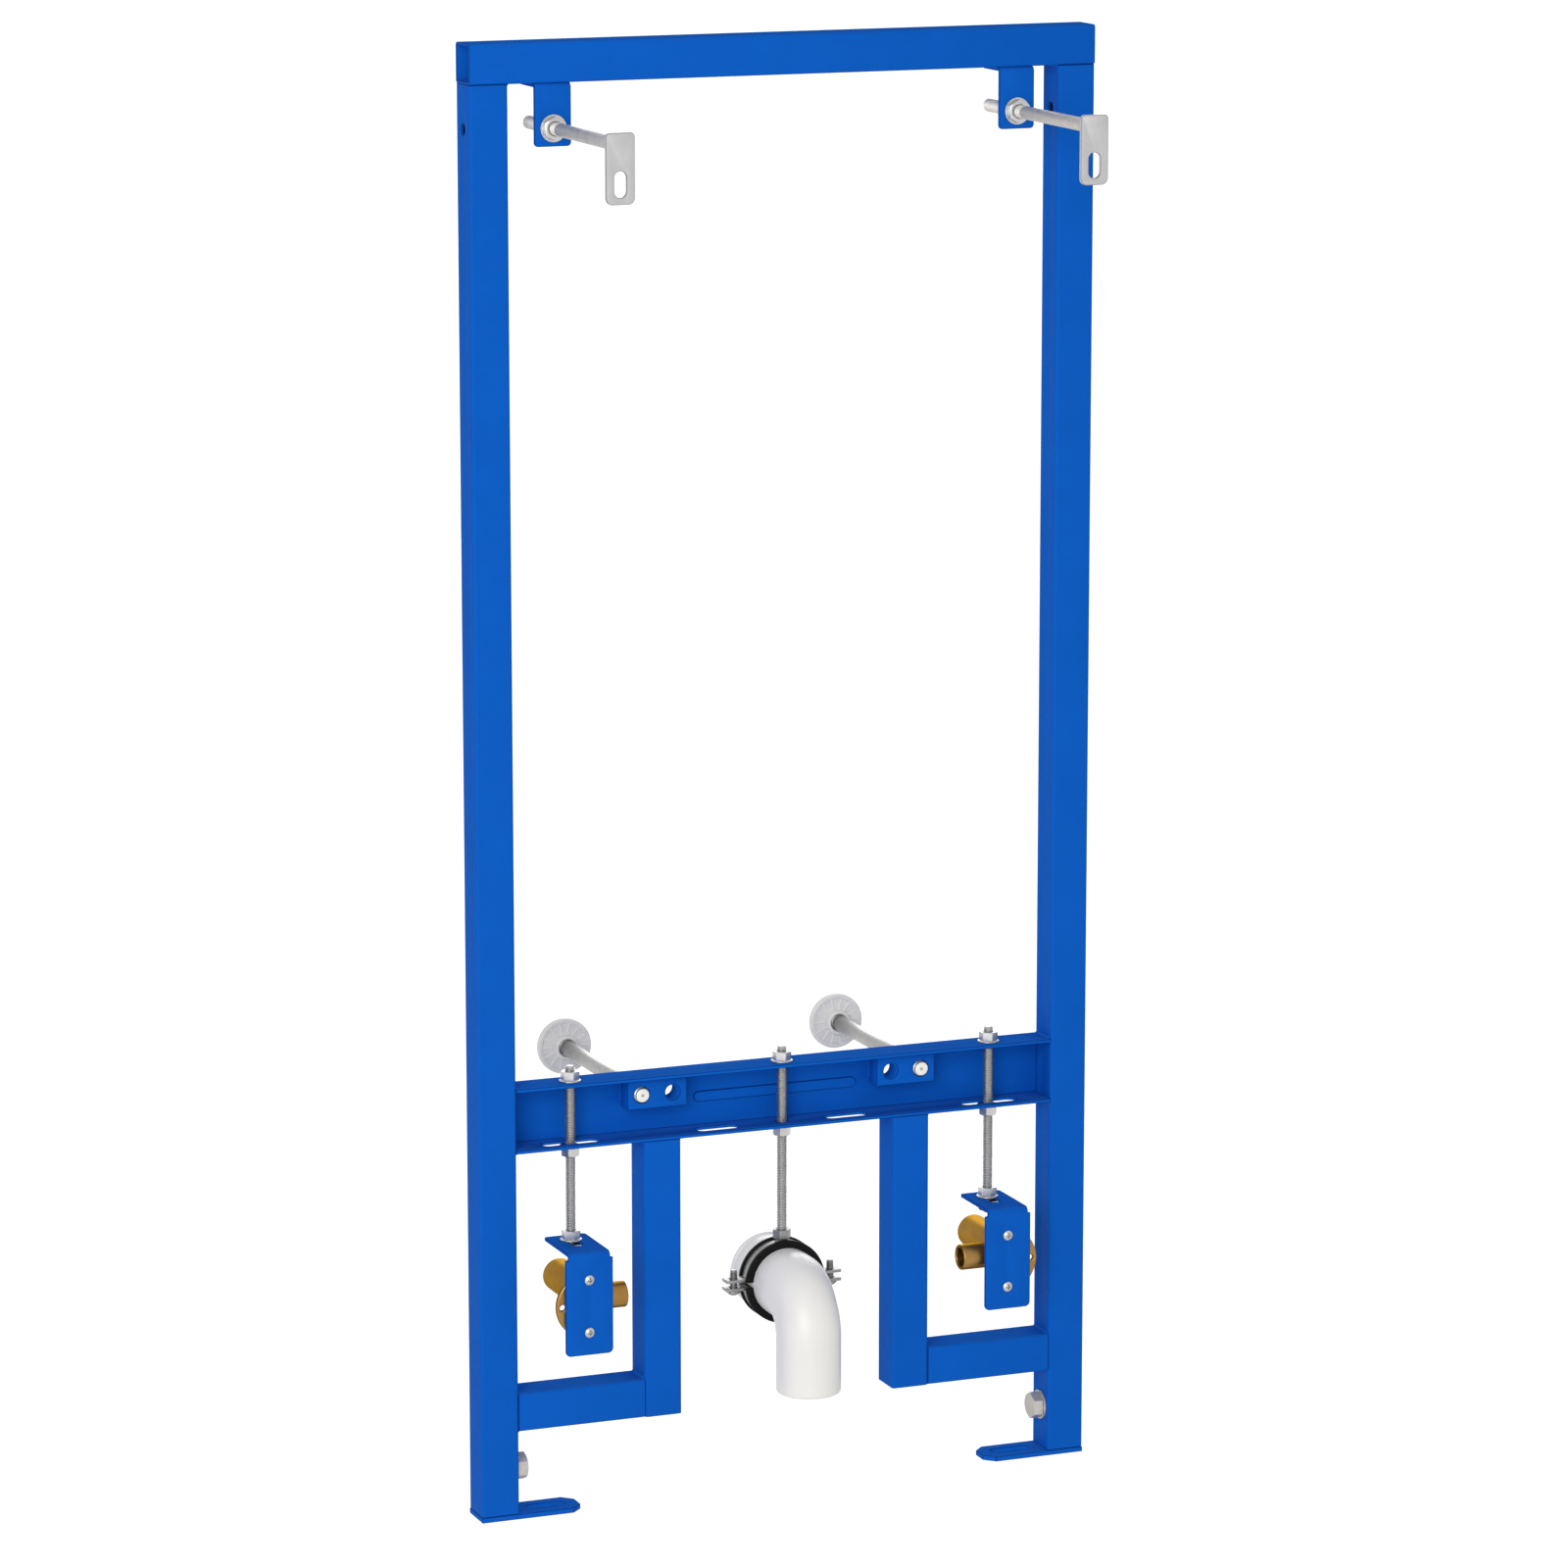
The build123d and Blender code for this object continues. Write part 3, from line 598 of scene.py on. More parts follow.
# Looks of the finishes; wear has a gain, a share of gaps and a tone
POWDER = dict(
    clouds=(28.0, 1.4, 0.94, 1.06), rough=(210.0, 1.2, 0.72, 0.86),
    bumps=(620.0, 1.3, 0.12, 0.06), wear=(2.2, 0.6, 1.25),
)
SHEET = dict(
    rough=((700.0, 700.0, 60.0), 1.6, 0.38, 0.52), bumps=((1100.0, 1100.0, 90.0), 1.5, 0.08, 0.03),
    Metallic=0.85,
)
FINISHES = {
    "paint": look("Blue powder coat", "paint", dusty="paint_dust", **POWDER),
    # Painted shade: the powder coat on rounded edges, made darker from the paint edge shade colour
    "paint edge": look("Blue powder coat edge", "paint_edge", dusty=1.3, **POWDER),
    "zinc": look(
        "Bright zinc plating", "zinc", clouds=(160.0, 1.8, 0.88, 1.08), rough=(330.0, 1.6, 0.26, 0.42),
        bumps=((900.0, 900.0, 240.0), 1.5, 0.1, 0.03), wear=(3.0, 0.3, (0.86, 0.86, 0.85)), Metallic=1.0,
    ),
    "sheet": look(
        "Zinc plated sheet", "zinc", clouds=(90.0, 1.6, 0.9, 1.05),
        wear=(3.0, 0.3, (0.88, 0.88, 0.87)), **SHEET
    ),
    # Painted shade: the zinc sheet on rounded edges, made much darker than the plate's own zinc
    "sheet edge": look(
        "Zinc plated sheet edge", "zinc", clouds=(90.0, 1.6, 0.378, 0.441),
        wear=(3.0, 0.3, (0.3, 0.3, 0.3)), **SHEET
    ),
    "bolt": look(
        "Dull bolt zinc", "bolt", clouds=(180.0, 1.8, 0.84, 1.12), rough=(360.0, 1.6, 0.42, 0.6),
        bumps=((800.0, 240.0, 240.0), 1.5, 0.12, 0.04), wear=(3.0, 0.3, (0.82, 0.82, 0.81)), Metallic=0.55,
    ),
    "rod": look(
        "Dull zinc rod", "rod", clouds=(220.0, 1.8, 0.86, 1.1), rough=(400.0, 1.6, 0.34, 0.5),
        bumps=((1000.0, 1000.0, 300.0), 1.4, 0.1, 0.03), wear=(2.0, 0.3, (0.7, 0.7, 0.69)), Metallic=0.9,
    ),
    "clamp": look(
        "Dull clamp zinc", "clamp", clouds=(240.0, 1.8, 0.8, 1.15), rough=(420.0, 1.6, 0.3, 0.46),
        bumps=((500.0, 120.0, 500.0), 1.4, 0.1, 0.03), wear=(2.5, 0.3, (0.6, 0.6, 0.59)), Metallic=0.85,
    ),
    "cut end": look(
        "Cut steel end", "cut_end", clouds=(900.0, 2.0, 0.92, 1.0),
        rough=((700.0, 60.0, 700.0), 1.6, 0.4, 0.6), bumps=((1500.0, 60.0, 1500.0), 1.5, 0.15, 0.03),
        Metallic=0.6,
    ),
    "drill mark": look(
        "Centre drill mark", "cut_end", clouds=(1200.0, 2.0, (0.5332, 0.45322, 0.2728), 0.62),
        rough=(700.0, 1.4, 0.5, 0.7), bumps=(1800.0, 1.4, 0.1, 0.03), Metallic=0.4,
    ),
    "brass": look(
        "Forged brass", "brass", clouds=(75.0, 1.9, (0.34, 0.175, 0.045), 1.0), rough=(480.0, 1.6, 0.3, 0.5),
        bumps=(850.0, 1.5, 0.35, 0.08), wear=(2.5, 0.4, (0.5, 0.33, 0.1)),
        Metallic=1.0, Specular_Tint=(0.6, 0.49, 0.3, 1.0),
    ),
    "drain": look(
        "Grey polypropylene", "drain", clouds=(40.0, 1.2, 0.97, 1.02), rough=(300.0, 1.2, 0.3, 0.4),
        bumps=(520.0, 1.2, 0.06, 0.05), wear=(1.5, 0.3, (0.87, 0.86, 0.84)), Specular_IOR_Level=0.45,
    ),
    "rosette": look(
        "Moulded rosette plastic", "rosette", clouds=(120.0, 1.4, 0.94, 1.05), rough=(350.0, 1.3, 0.42, 0.56),
        bumps=(900.0, 1.3, 0.1, 0.05), wear=(2.5, 0.2, (0.86, 0.84, 0.8)), Specular_IOR_Level=0.4,
    ),
    "rubber": look(
        "Black rubber", "rubber", clouds=(150.0, 1.5, 0.8, (0.006, 0.006, 0.006)),
        rough=(500.0, 1.4, 0.5, 0.68), bumps=(1100.0, 1.4, 0.15, 0.05), Specular_IOR_Level=0.12,
    ),
}


# Operators, one for each group of like pieces
class BIDET_FRAME_OT_blue_steel(bpy.types.Operator):
    """Make the tubes, channel, tabs, stud bars, brackets and feet with rounded edges and powder coat, with
    painted shade on the rounded edges
    """

    bl_idname = "bidet_frame.blue_steel"
    bl_label = "Blue steel"

    def execute(self, context):
        steel = context.scene.bidet_frame_steel
        for node in ["top_rail"] + both("post", "inner_leg", "lower_rail"):
            shape = rounded(node, steel.tube_edge_round, edge_shade_slot=1)
            stand_in(node + "_tube", shape, "paint", "blue_paint", node)
        for node in ["cross_channel"] + both("stud_bar", "wall_tab", "elbow_bracket", "foot"):
            shape = rounded(node, steel.edge_round, edge_shade_slot=1)
            stand_in(node + "_plate", shape, "paint", "blue_paint", node)
        return {"FINISHED"}


class BIDET_FRAME_OT_welds(bpy.types.Operator):
    """Lay painted weld beads in the inside corners of the frame"""

    bl_idname = "bidet_frame.welds"
    bl_label = "Weld beads"

    def execute(self, context):
        steel = context.scene.bidet_frame_steel
        radius = steel.weld_radius
        channel_low, channel_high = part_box("cross_channel")
        rail_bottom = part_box("top_rail")[0].z
        inset = 2.5 * MM
        thinner = 0.75
        welds = Shape()

        def across(x, z, start=channel_low.y + inset, finish=channel_high.y - inset, share=1.0):
            welds.bead((x, start, z), (x, finish, z), radius * share, steel.weld_pitch)

        for side in SIDES:
            left = side == "left"
            leg_low, leg_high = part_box(side + "_inner_leg")
            lower_low, lower_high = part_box(side + "_lower_rail")
            post_face = channel_low.x if left else channel_high.x
            outer, inner = (leg_low.x, leg_high.x) if left else (leg_high.x, leg_low.x)
            for height in (rail_bottom, channel_low.z, channel_high.z):
                across(post_face, height)
            across(outer, channel_low.z)
            across(inner, channel_low.z)
            across(outer, lower_high.z)
            across(post_face, lower_high.z)
            across(post_face, lower_low.z)
            tab_low, tab_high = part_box(side + "_wall_tab")
            for x in (tab_low.x, tab_high.x):
                across(x, rail_bottom, tab_low.y + 2 * MM, tab_high.y - 5 * MM, thinner)
            bar_low, bar_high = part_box(side + "_stud_bar")
            for x in (bar_low.x, bar_high.x):
                bottom = (x, bar_low.y, bar_low.z + 3 * MM)
                top = (x, bar_low.y, bar_high.z - 3 * MM)
                welds.bead(bottom, top, radius * thinner, steel.weld_pitch)
        make_piece("frame_weld_beads", welds, "paint", ["top_rail"], crease=60)
        return {"FINISHED"}


class BIDET_FRAME_OT_foot_bolts(bpy.types.Operator):
    """Make the hexagon bolts that lock the sliding feet"""

    bl_idname = "bidet_frame.foot_bolts"
    bl_label = "Foot bolts"

    def execute(self, context):
        sizes = context.scene.bidet_frame_fasteners
        washer = sizes.foot_bolt_washer
        head = washer + sizes.foot_bolt_head
        shank_radius = 6.0 * MM
        collar = 9.2 * MM
        for side, inward in (("left", 1), ("right", -1)):
            node = side + "_foot_bolt"
            low, high, centre = extent(node)
            seat = (high.x if inward > 0 else low.x) - inward * head
            shape = Shape((seat, centre.y, centre.z), (inward, 0, 0))
            shape.washer((high.z - low.z) / 2, shank_radius + 0.2 * MM, 0.0, washer)
            shape.washer(collar, shank_radius - 0.1 * MM, washer, washer + 0.5 * MM, 0.15 * MM)
            shape.hexagon(sizes.foot_bolt_flats, washer + 0.4 * MM, head, seat=True, turn=math.pi / 6)
            shape.rod(shank_radius, head - (high.x - low.x), washer + 0.2 * MM, 0.6 * MM)
            stand_in(side + "_foot_locking_bolt", shape, "bolt", "zinc_steel", node)
        return {"FINISHED"}


class BIDET_FRAME_OT_studs(bpy.types.Operator):
    """Make the two bidet studs with their threaded ends, lock nuts and outer nuts"""

    bl_idname = "bidet_frame.studs"
    bl_label = "Bidet studs"

    def execute(self, context):
        sizes = context.scene.bidet_frame_fasteners
        pitch = sizes.stud_pitch
        nut = sizes.stud_nut_height
        lead = 0.4 * MM
        hole_play = 0.36 * MM
        for side in SIDES:
            low, high, centre = extent(side + "_stud")
            length = high.y - low.y
            radius = (high.x - low.x) / 2
            nuts_low, nuts_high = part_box(side + "_stud_nuts")
            shape = Shape((centre.x, low.y, centre.z), TO_WALL)
            near_end = nuts_high.y - low.y - nut - 7 * MM
            far_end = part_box(side + "_rosette")[1].y - low.y - 1 * MM
            shape.threaded_rod(radius, pitch, 0.0, length, [(0.0, far_end), (near_end, length)])
            stand_in(side + "_bidet_stud", shape, "rod", "zinc_steel", side + "_stud")
            cut = Shape((centre.x, high.y, centre.z), TO_WALL)
            rim = radius - 1.0 * MM
            outside = near(rim, 0.0, (0.0, -0.4), (0.1, -0.02), (0.0, 0.04))
            inside = near(0.0, 0.0, (1.6, 0.04), (1.3, 0.0), (1.3, -0.4))
            cut.turned(inside[2:] + outside + inside[:2])
            make_piece(side + "_stud_cut_end", cut, "cut end", [side + "_stud"])
            mark = Shape((centre.x, high.y, centre.z), TO_WALL)
            mark.turned(near(0.0, 0.0, (1.35, 0.02), (1.35, -0.5), (0.02, -0.9), (0.02, -0.3)), count=32)
            make_piece(side + "_stud_centre_mark", mark, "drill mark", [side + "_stud"])
            nuts = Shape()
            for seat in (nuts_high.y, nuts_low.y + nut):
                nuts.stand((centre.x, seat, centre.z), TO_ROOM)
                nuts.hexagon(sizes.stud_nut_flats, 0.0, nut, bore=radius + NUT_PLAY)
            stand_in(side + "_stud_lock_nuts", nuts, "zinc", "zinc_steel", side + "_stud_nuts")
            bar_low, bar_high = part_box(side + "_stud_bar")
            spare = Shape((bar_low.x + bar_high.x - centre.x, bar_low.y, centre.z), TO_WALL)
            depth = bar_high.y - bar_low.y
            spare.thread(radius + hole_play, pitch, lead, depth - lead, inward=True, count=32)
            name = side + "_spare_hole_thread"
            make_piece(name, spare, "paint", [side + "_stud_bar"], crease=60)
        return {"FINISHED"}


class BIDET_FRAME_OT_rosettes(bpy.types.Operator):
    """Mould the two ribbed rosettes that sit on the studs"""

    bl_idname = "bidet_frame.rosettes"
    bl_label = "Rosettes"

    def execute(self, context):
        mould = context.scene.bidet_frame_mould
        for side in SIDES:
            node = side + "_rosette"
            low, high, centre = extent(node)
            rim = (high.x - low.x) / 2
            depth = high.y - low.y
            shape = Shape((centre.x, high.y, centre.z), TO_ROOM)
            edge = depth - 6.0 * MM
            face = edge + mould.rosette_cell_depth
            bore = 6.3 * MM
            hub = 9.5 * MM
            wall_side = near(hub, 0.0, (-2.0, 0.0), (-1.2, 0.0), (0.0, 1.0))
            wall_side += [(hub, face), (rim - 3.6 * MM, face)]
            rim_side = near(rim, edge, (-3.4, 0.3), (-2.8, 0.0), (-0.8, 0.0), (0.0, 0.8))
            rim_side += near(rim, depth, (0.0, -1.4), (-1.4, 0.0))
            room_side = near(0.0, depth, (12.0, 0.0), (11.2, -0.6)) + [(bore, depth - 0.6 * MM)]
            profile = [(bore, 1.8 * MM)] + wall_side + rim_side + room_side
            shape.turned(profile, count=72, soft=0.35 * MM)
            half = mould.rosette_rib_width / 2
            crown = half * 0.4
            root, shoulder, top = face + 0.3 * MM, edge + 0.6 * MM, edge + 0.25 * MM
            rib = [(-half, root), (-half, shoulder), (-crown, top)]
            rib += [(-across, height) for across, height in reversed(rib)]
            for step in range(mould.rosette_ribs):
                turned = Matrix.Rotation(math.tau * step / mould.rosette_ribs, 4, "Z")
                ends = (hub - 0.5 * MM, rim - 3.0 * MM)
                shape.skin([[turned @ Vector((reach, *point)) for point in rib] for reach in ends])
            stand_in(side + "_ribbed_rosette", shape, "rosette", "rosette_plastic", node)
        return {"FINISHED"}


class BIDET_FRAME_OT_wall_ties(bpy.types.Operator):
    """Make the wall rods, their nuts and washers, and the slotted wall plates"""

    bl_idname = "bidet_frame.wall_ties"
    bl_label = "Wall ties"

    def execute(self, context):
        sizes = context.scene.bidet_frame_fasteners
        steel = context.scene.bidet_frame_steel
        washer = sizes.tie_washer_height
        thickness = washer + sizes.tie_nut_height
        for side in SIDES:
            low, high, centre = extent(side + "_wall_rod")
            radius = (high.x - low.x) / 2
            length = high.y - low.y
            nuts_low, nuts_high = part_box(side + "_wall_nuts")
            shape = Shape((centre.x, low.y, centre.z), TO_WALL)
            threaded = nuts_high.y - low.y + 9 * MM
            shape.threaded_rod(radius, sizes.tie_pitch, 0.0, length, [(0.0, threaded)])
            foot = length - 2.4 * MM
            flare = near(radius, foot, (-1, 0.0), (0.15, 0.0), (0.5, 0.9), (1.3, 1.9))
            shape.turned(flare + near(radius, length, (1.9, 0.0), (-1, 0.0)), count=40)
            stand_in(side + "_wall_tie_rod", shape, "bolt", "zinc_steel", side + "_wall_rod")
            nuts = Shape()
            for seat, direction in ((nuts_high.y - thickness, TO_WALL), (nuts_low.y + thickness, TO_ROOM)):
                nuts.stand((centre.x, seat, centre.z), direction)
                nuts.washer((nuts_high.x - nuts_low.x) / 2, radius + 0.3 * MM, 0.0, washer)
                nuts.hexagon(sizes.tie_nut_flats, washer, thickness, bore=radius + NUT_PLAY)
            stand_in(side + "_wall_tie_nuts", nuts, "zinc", "zinc_steel", side + "_wall_nuts")
            # The plate's rounded edges get the zinc sheet edge material, which paints shade on them
            plate = rounded(side + "_wall_plate", steel.edge_round, 3, edge_shade_slot=1)
            stand_in(side + "_wall_tie_plate", plate, "sheet", "zinc_steel", side + "_wall_plate")
        return {"FINISHED"}


class BIDET_FRAME_OT_hangers(bpy.types.Operator):
    """Make the three threaded hanger rods and their flange nuts"""

    bl_idname = "bidet_frame.hangers"
    bl_label = "Hanger rods"

    def flange_nut(self, nuts, sizes, radius, flange, place, direction):
        nuts.stand(place, direction)
        base = sizes.hanger_flange
        bore = radius + 0.2 * MM
        rim = [(bore, 0.0), (flange, 0.0), (flange, base * 0.6)]
        slope = [(sizes.hanger_nut_flats / 2, base * 1.25), (bore, base)]
        nuts.turned(rim + slope, soft=0.3 * MM)
        top = base + sizes.hanger_nut_height
        nuts.hexagon(sizes.hanger_nut_flats, base * 0.5, top, bore=radius + 0.04 * MM, seat=True)

    def execute(self, context):
        sizes = context.scene.bidet_frame_fasteners
        channel_low, channel_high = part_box("cross_channel")
        for name in ("left", "right", "centre"):
            low, high, centre = extent(name + "_hanger_rod")
            radius = (high.x - low.x) / 2
            length = high.z - low.z
            shape = Shape((centre.x, centre.y, low.z), UP)
            shape.threaded_rod(radius, sizes.hanger_pitch, 0.0, length, [(0.0, length)])
            stand_in(name + "_threaded_hanger", shape, "rod", "zinc_steel", name + "_hanger_rod")
            nuts_low, nuts_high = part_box(name + "_hanger_nuts")
            flange = (nuts_high.x - nuts_low.x) / 2
            height = sizes.hanger_flange + sizes.hanger_nut_height
            seats = [(channel_high.z, UP), (channel_low.z, DOWN)]
            if name != "centre":
                bracket_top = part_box(name + "_elbow_bracket")[1].z
                seats += [(bracket_top, UP), (nuts_low.z + height, DOWN)]
            nuts = Shape()
            for seat, direction in seats:
                self.flange_nut(nuts, sizes, radius, flange, (centre.x, centre.y, seat), direction)
            stand_in(name + "_flange_nuts", nuts, "zinc", "zinc_steel", name + "_hanger_nuts")
        return {"FINISHED"}


class BIDET_FRAME_OT_brass_elbows(bpy.types.Operator):
    """Forge the two brass wall-plate elbows, with their threads and screws"""

    bl_idname = "bidet_frame.brass_elbows"
    bl_label = "Brass elbows"

    def forged(self, node, voxel):
        """Shape of a node with the soft edges and hollows of a forging."""
        mesh = frame["nodes"][node].data.copy()
        rough = put_in_scene(node + "_rough", mesh)
        bm = bmesh.new()
        bm.from_mesh(mesh)
        bmesh.ops.remove_doubles(bm, verts=bm.verts, dist=SAME_POINT)
        bm.to_mesh(mesh)
        bm.free()
        remesh = rough.modifiers.new("Forged skin", "REMESH")
        remesh.mode = "VOXEL"
        remesh.voxel_size = voxel
        ready = rough.evaluated_get(bpy.context.evaluated_depsgraph_get())
        shape = Shape()
        shape.bm.from_mesh(ready.to_mesh())
        ready.to_mesh_clear()
        bpy.data.objects.remove(rough)
        axes = dict(use_axis_x=True, use_axis_y=True, use_axis_z=True)
        for step in range(4):
            bmesh.ops.smooth_vert(shape.bm, verts=shape.bm.verts, factor=0.5, **axes)
        return shape

    def execute(self, context):
        mould = context.scene.bidet_frame_mould
        sizes = context.scene.bidet_frame_fasteners
        port = 9.5 * MM
        port_pitch = 1.814 * MM
        port_rim = 12.9 * MM
        screw = 2.0 * MM
        screw_pitch = 0.7 * MM
        for side in SIDES:
            node = side + "_brass_elbow"
            low, high, centre = extent(node)
            shape = self.forged(node, mould.cast_voxel)
            line = extent(side + "_elbow_bracket")[2].x
            shape.stand((line, low.y, centre.z + mould.port_rise), TO_WALL)
            shape.thread(port, port_pitch, 1.6 * MM, 15.5 * MM, inward=True, count=28)
            shape.washer(port_rim, port + 0.1 * MM, 0.0, 0.8 * MM, 0.3 * MM)
            stand_in(side + "_forged_elbow", shape, "brass", "brass", node, crease=50)
            screws = Shape()
            screws_low, screws_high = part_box(side + "_elbow_screws")
            head = (screws_high.x - screws_low.x) / 2
            bracket_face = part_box(side + "_elbow_bracket")[1].y
            proud = screws_high.y - bracket_face
            tail = bracket_face - screws_low.y
            for height in (screws_low.z + head, screws_high.z - head):
                screws.stand((line, bracket_face, height), TO_WALL)
                screws.cross_head(head, proud, sizes.recess_reach, sizes.recess_width)
                screws.rod(screw - 0.4 * MM, -tail, 0.2 * MM, 0.4 * MM)
                screws.thread(screw, screw_pitch, -tail + 0.5 * MM, -1.5 * MM, count=16)
            stand_in(side + "_pan_head_screws", screws, "zinc", "zinc_steel", side + "_elbow_screws")
        return {"FINISHED"}


class BIDET_FRAME_OT_pipe_clamp(bpy.types.Operator):
    """Make the two clamp halves, their rubber lining and their screws"""

    bl_idname = "bidet_frame.pipe_clamp"
    bl_label = "Pipe clamp"

    def execute(self, context):
        sizes = context.scene.bidet_frame_fasteners
        steel = context.scene.bidet_frame_steel
        for half in ("upper", "lower"):
            node = "clamp_" + half + "_half"
            shape = rounded(node, steel.tube_edge_round)
            stand_in(half + "_clamp_band", shape, "clamp", "zinc_steel", node)
        lining = rounded("clamp_rubber", steel.edge_round, 3)
        stand_in("ribbed_clamp_lining", lining, "rubber", "black_rubber", "clamp_rubber")
        low, high, centre = extent("clamp_screws")
        screws = Shape()
        head = 5.5 * MM
        head_height = 4.0 * MM
        radius = 3.0 * MM
        reach = high.z - low.z - head_height
        for x in (low.x + head, high.x - head):
            seat = (x, centre.y, low.z + head_height)
            screws.stand(seat, DOWN)
            screws.cross_head(head, head_height, 3.2 * MM, 0.6 * MM)
            screws.stand(seat, UP)
            screws.threaded_rod(radius, sizes.clamp_pitch, -0.2 * MM, reach, [(1.0 * MM, reach)])
        stand_in("clamp_closing_screws", screws, "clamp", "zinc_steel", "clamp_screws")
        return {"FINISHED"}


class BIDET_FRAME_OT_drain(bpy.types.Operator):
    """Mould the drain elbow with its push-fit socket and lip seal"""

    bl_idname = "bidet_frame.drain"
    bl_label = "Drain elbow"

    def execute(self, context):
        mould = context.scene.bidet_frame_mould
        low, high, centre = extent("drain_elbow")
        x = centre.x
        pipe = mould.drain_radius
        wall = mould.drain_wall
        bend = mould.drain_bend
        socket = mould.socket_radius
        axis = high.z - socket
        leg = high.y - pipe
        turn = leg - bend - low.y
        quarter = bend * math.pi / 2
        total = turn + quarter + (axis - bend - low.z)

        def station(distance):
            """Place and heading of the pipe's middle line."""
            bent = min(max(distance - turn, 0.0), quarter)
            sine, cosine = math.sin(bent / bend), math.cos(bent / bend)
            heading = Vector((0, cosine, -sine))
            place = Vector((x, leg - bend + bend * sine, axis - bend + bend * cosine))
            return place + heading * (distance - turn - bent), heading

        def ring(distance, radius):
            count = 64
            place, heading = station(distance)
            side = Vector((1, 0, 0)) * radius
            lift = heading.cross(side)
            angles = [math.tau * step / count for step in range(count)]
            return [place + side * math.cos(angle) + lift * math.sin(angle) for angle in angles]

        length = mould.socket_length
        ridge = ((0.0, -1.2), (0.3, -0.4), (1.0, 0.0), (2.6, 0.0), (3.4, -0.4), (4.0, -1.2))
        ridge += ((8.6, -1.2), (9.3, -0.5), (10.2, 0.0))
        outer = near(0.0, socket, *ridge)
        outer += near(length, socket, (-2.4, 0.0), (-1.2, -0.35), (-0.4, -1.2), (-0.05, -2.4))
        outer += near(length, pipe, (0.0, 1.0), (0.3, 0.3), (1.0, 0.0))
        start = length + 3 * MM
        end = total - 1.3 * MM
        stops = [start + (turn - start) * step / 4 for step in range(5)]
        stops += [turn + quarter * step / 28 for step in range(1, 29)]
        stops += [turn + quarter + (end - turn - quarter) * step / 6 for step in range(1, 7)]
        outer += [(stop, pipe) for stop in stops]
        outer += [(total - 0.1 * MM, pipe - 0.95 * MM), (total, pipe - 1.1 * MM)]
        grip = mould.drain_grip_radius - pipe
        soft_end = turn + quarter * 0.62

        def fullness(distance):
            part = min(1.0, max(0.0, (distance - turn) / (soft_end - turn)))
            return grip * (1 - part * part * (3 - 2 * part))

        outer = [(stop, radius + (fullness(stop) if radius == pipe else 0)) for stop, radius in outer]
        inside = pipe - wall
        bore = 25.3 * MM
        depth = length - 3 * MM
        inner = [(total, inside + 0.2 * MM), (total - 0.3 * MM, inside)]
        inner += [(stop, inside) for stop in reversed(stops)]
        inner += near(depth, inside, (0.6, 0.0), (0.0, 0.6))
        groove = near(0.0, bore, (8.8, 0.0), (8.6, 1.6), (4.0, 1.6), (3.8, 0.0), (1.2, 0.0), (0.0, 1.0))
        inner += [(depth, bore)] + groove
        shape = Shape()
        shape.skin([ring(distance, radius) for distance, radius in outer + inner], loop=True)
        stand_in("drain_elbow_moulding", shape, "drain", "drain_plastic", "drain_elbow")
        seal = Shape((x, low.y, axis), TO_WALL)
        lip = near(bore, 0.0, (0.05, 4.2), (1.55, 4.2), (1.55, 8.4), (0.7, 8.4), (0.05, 6.4))
        seal.turned(lip, count=64, soft=0.3 * MM)
        make_piece("drain_lip_seal", seal, "rubber", ["drain_elbow"])
        return {"FINISHED"}


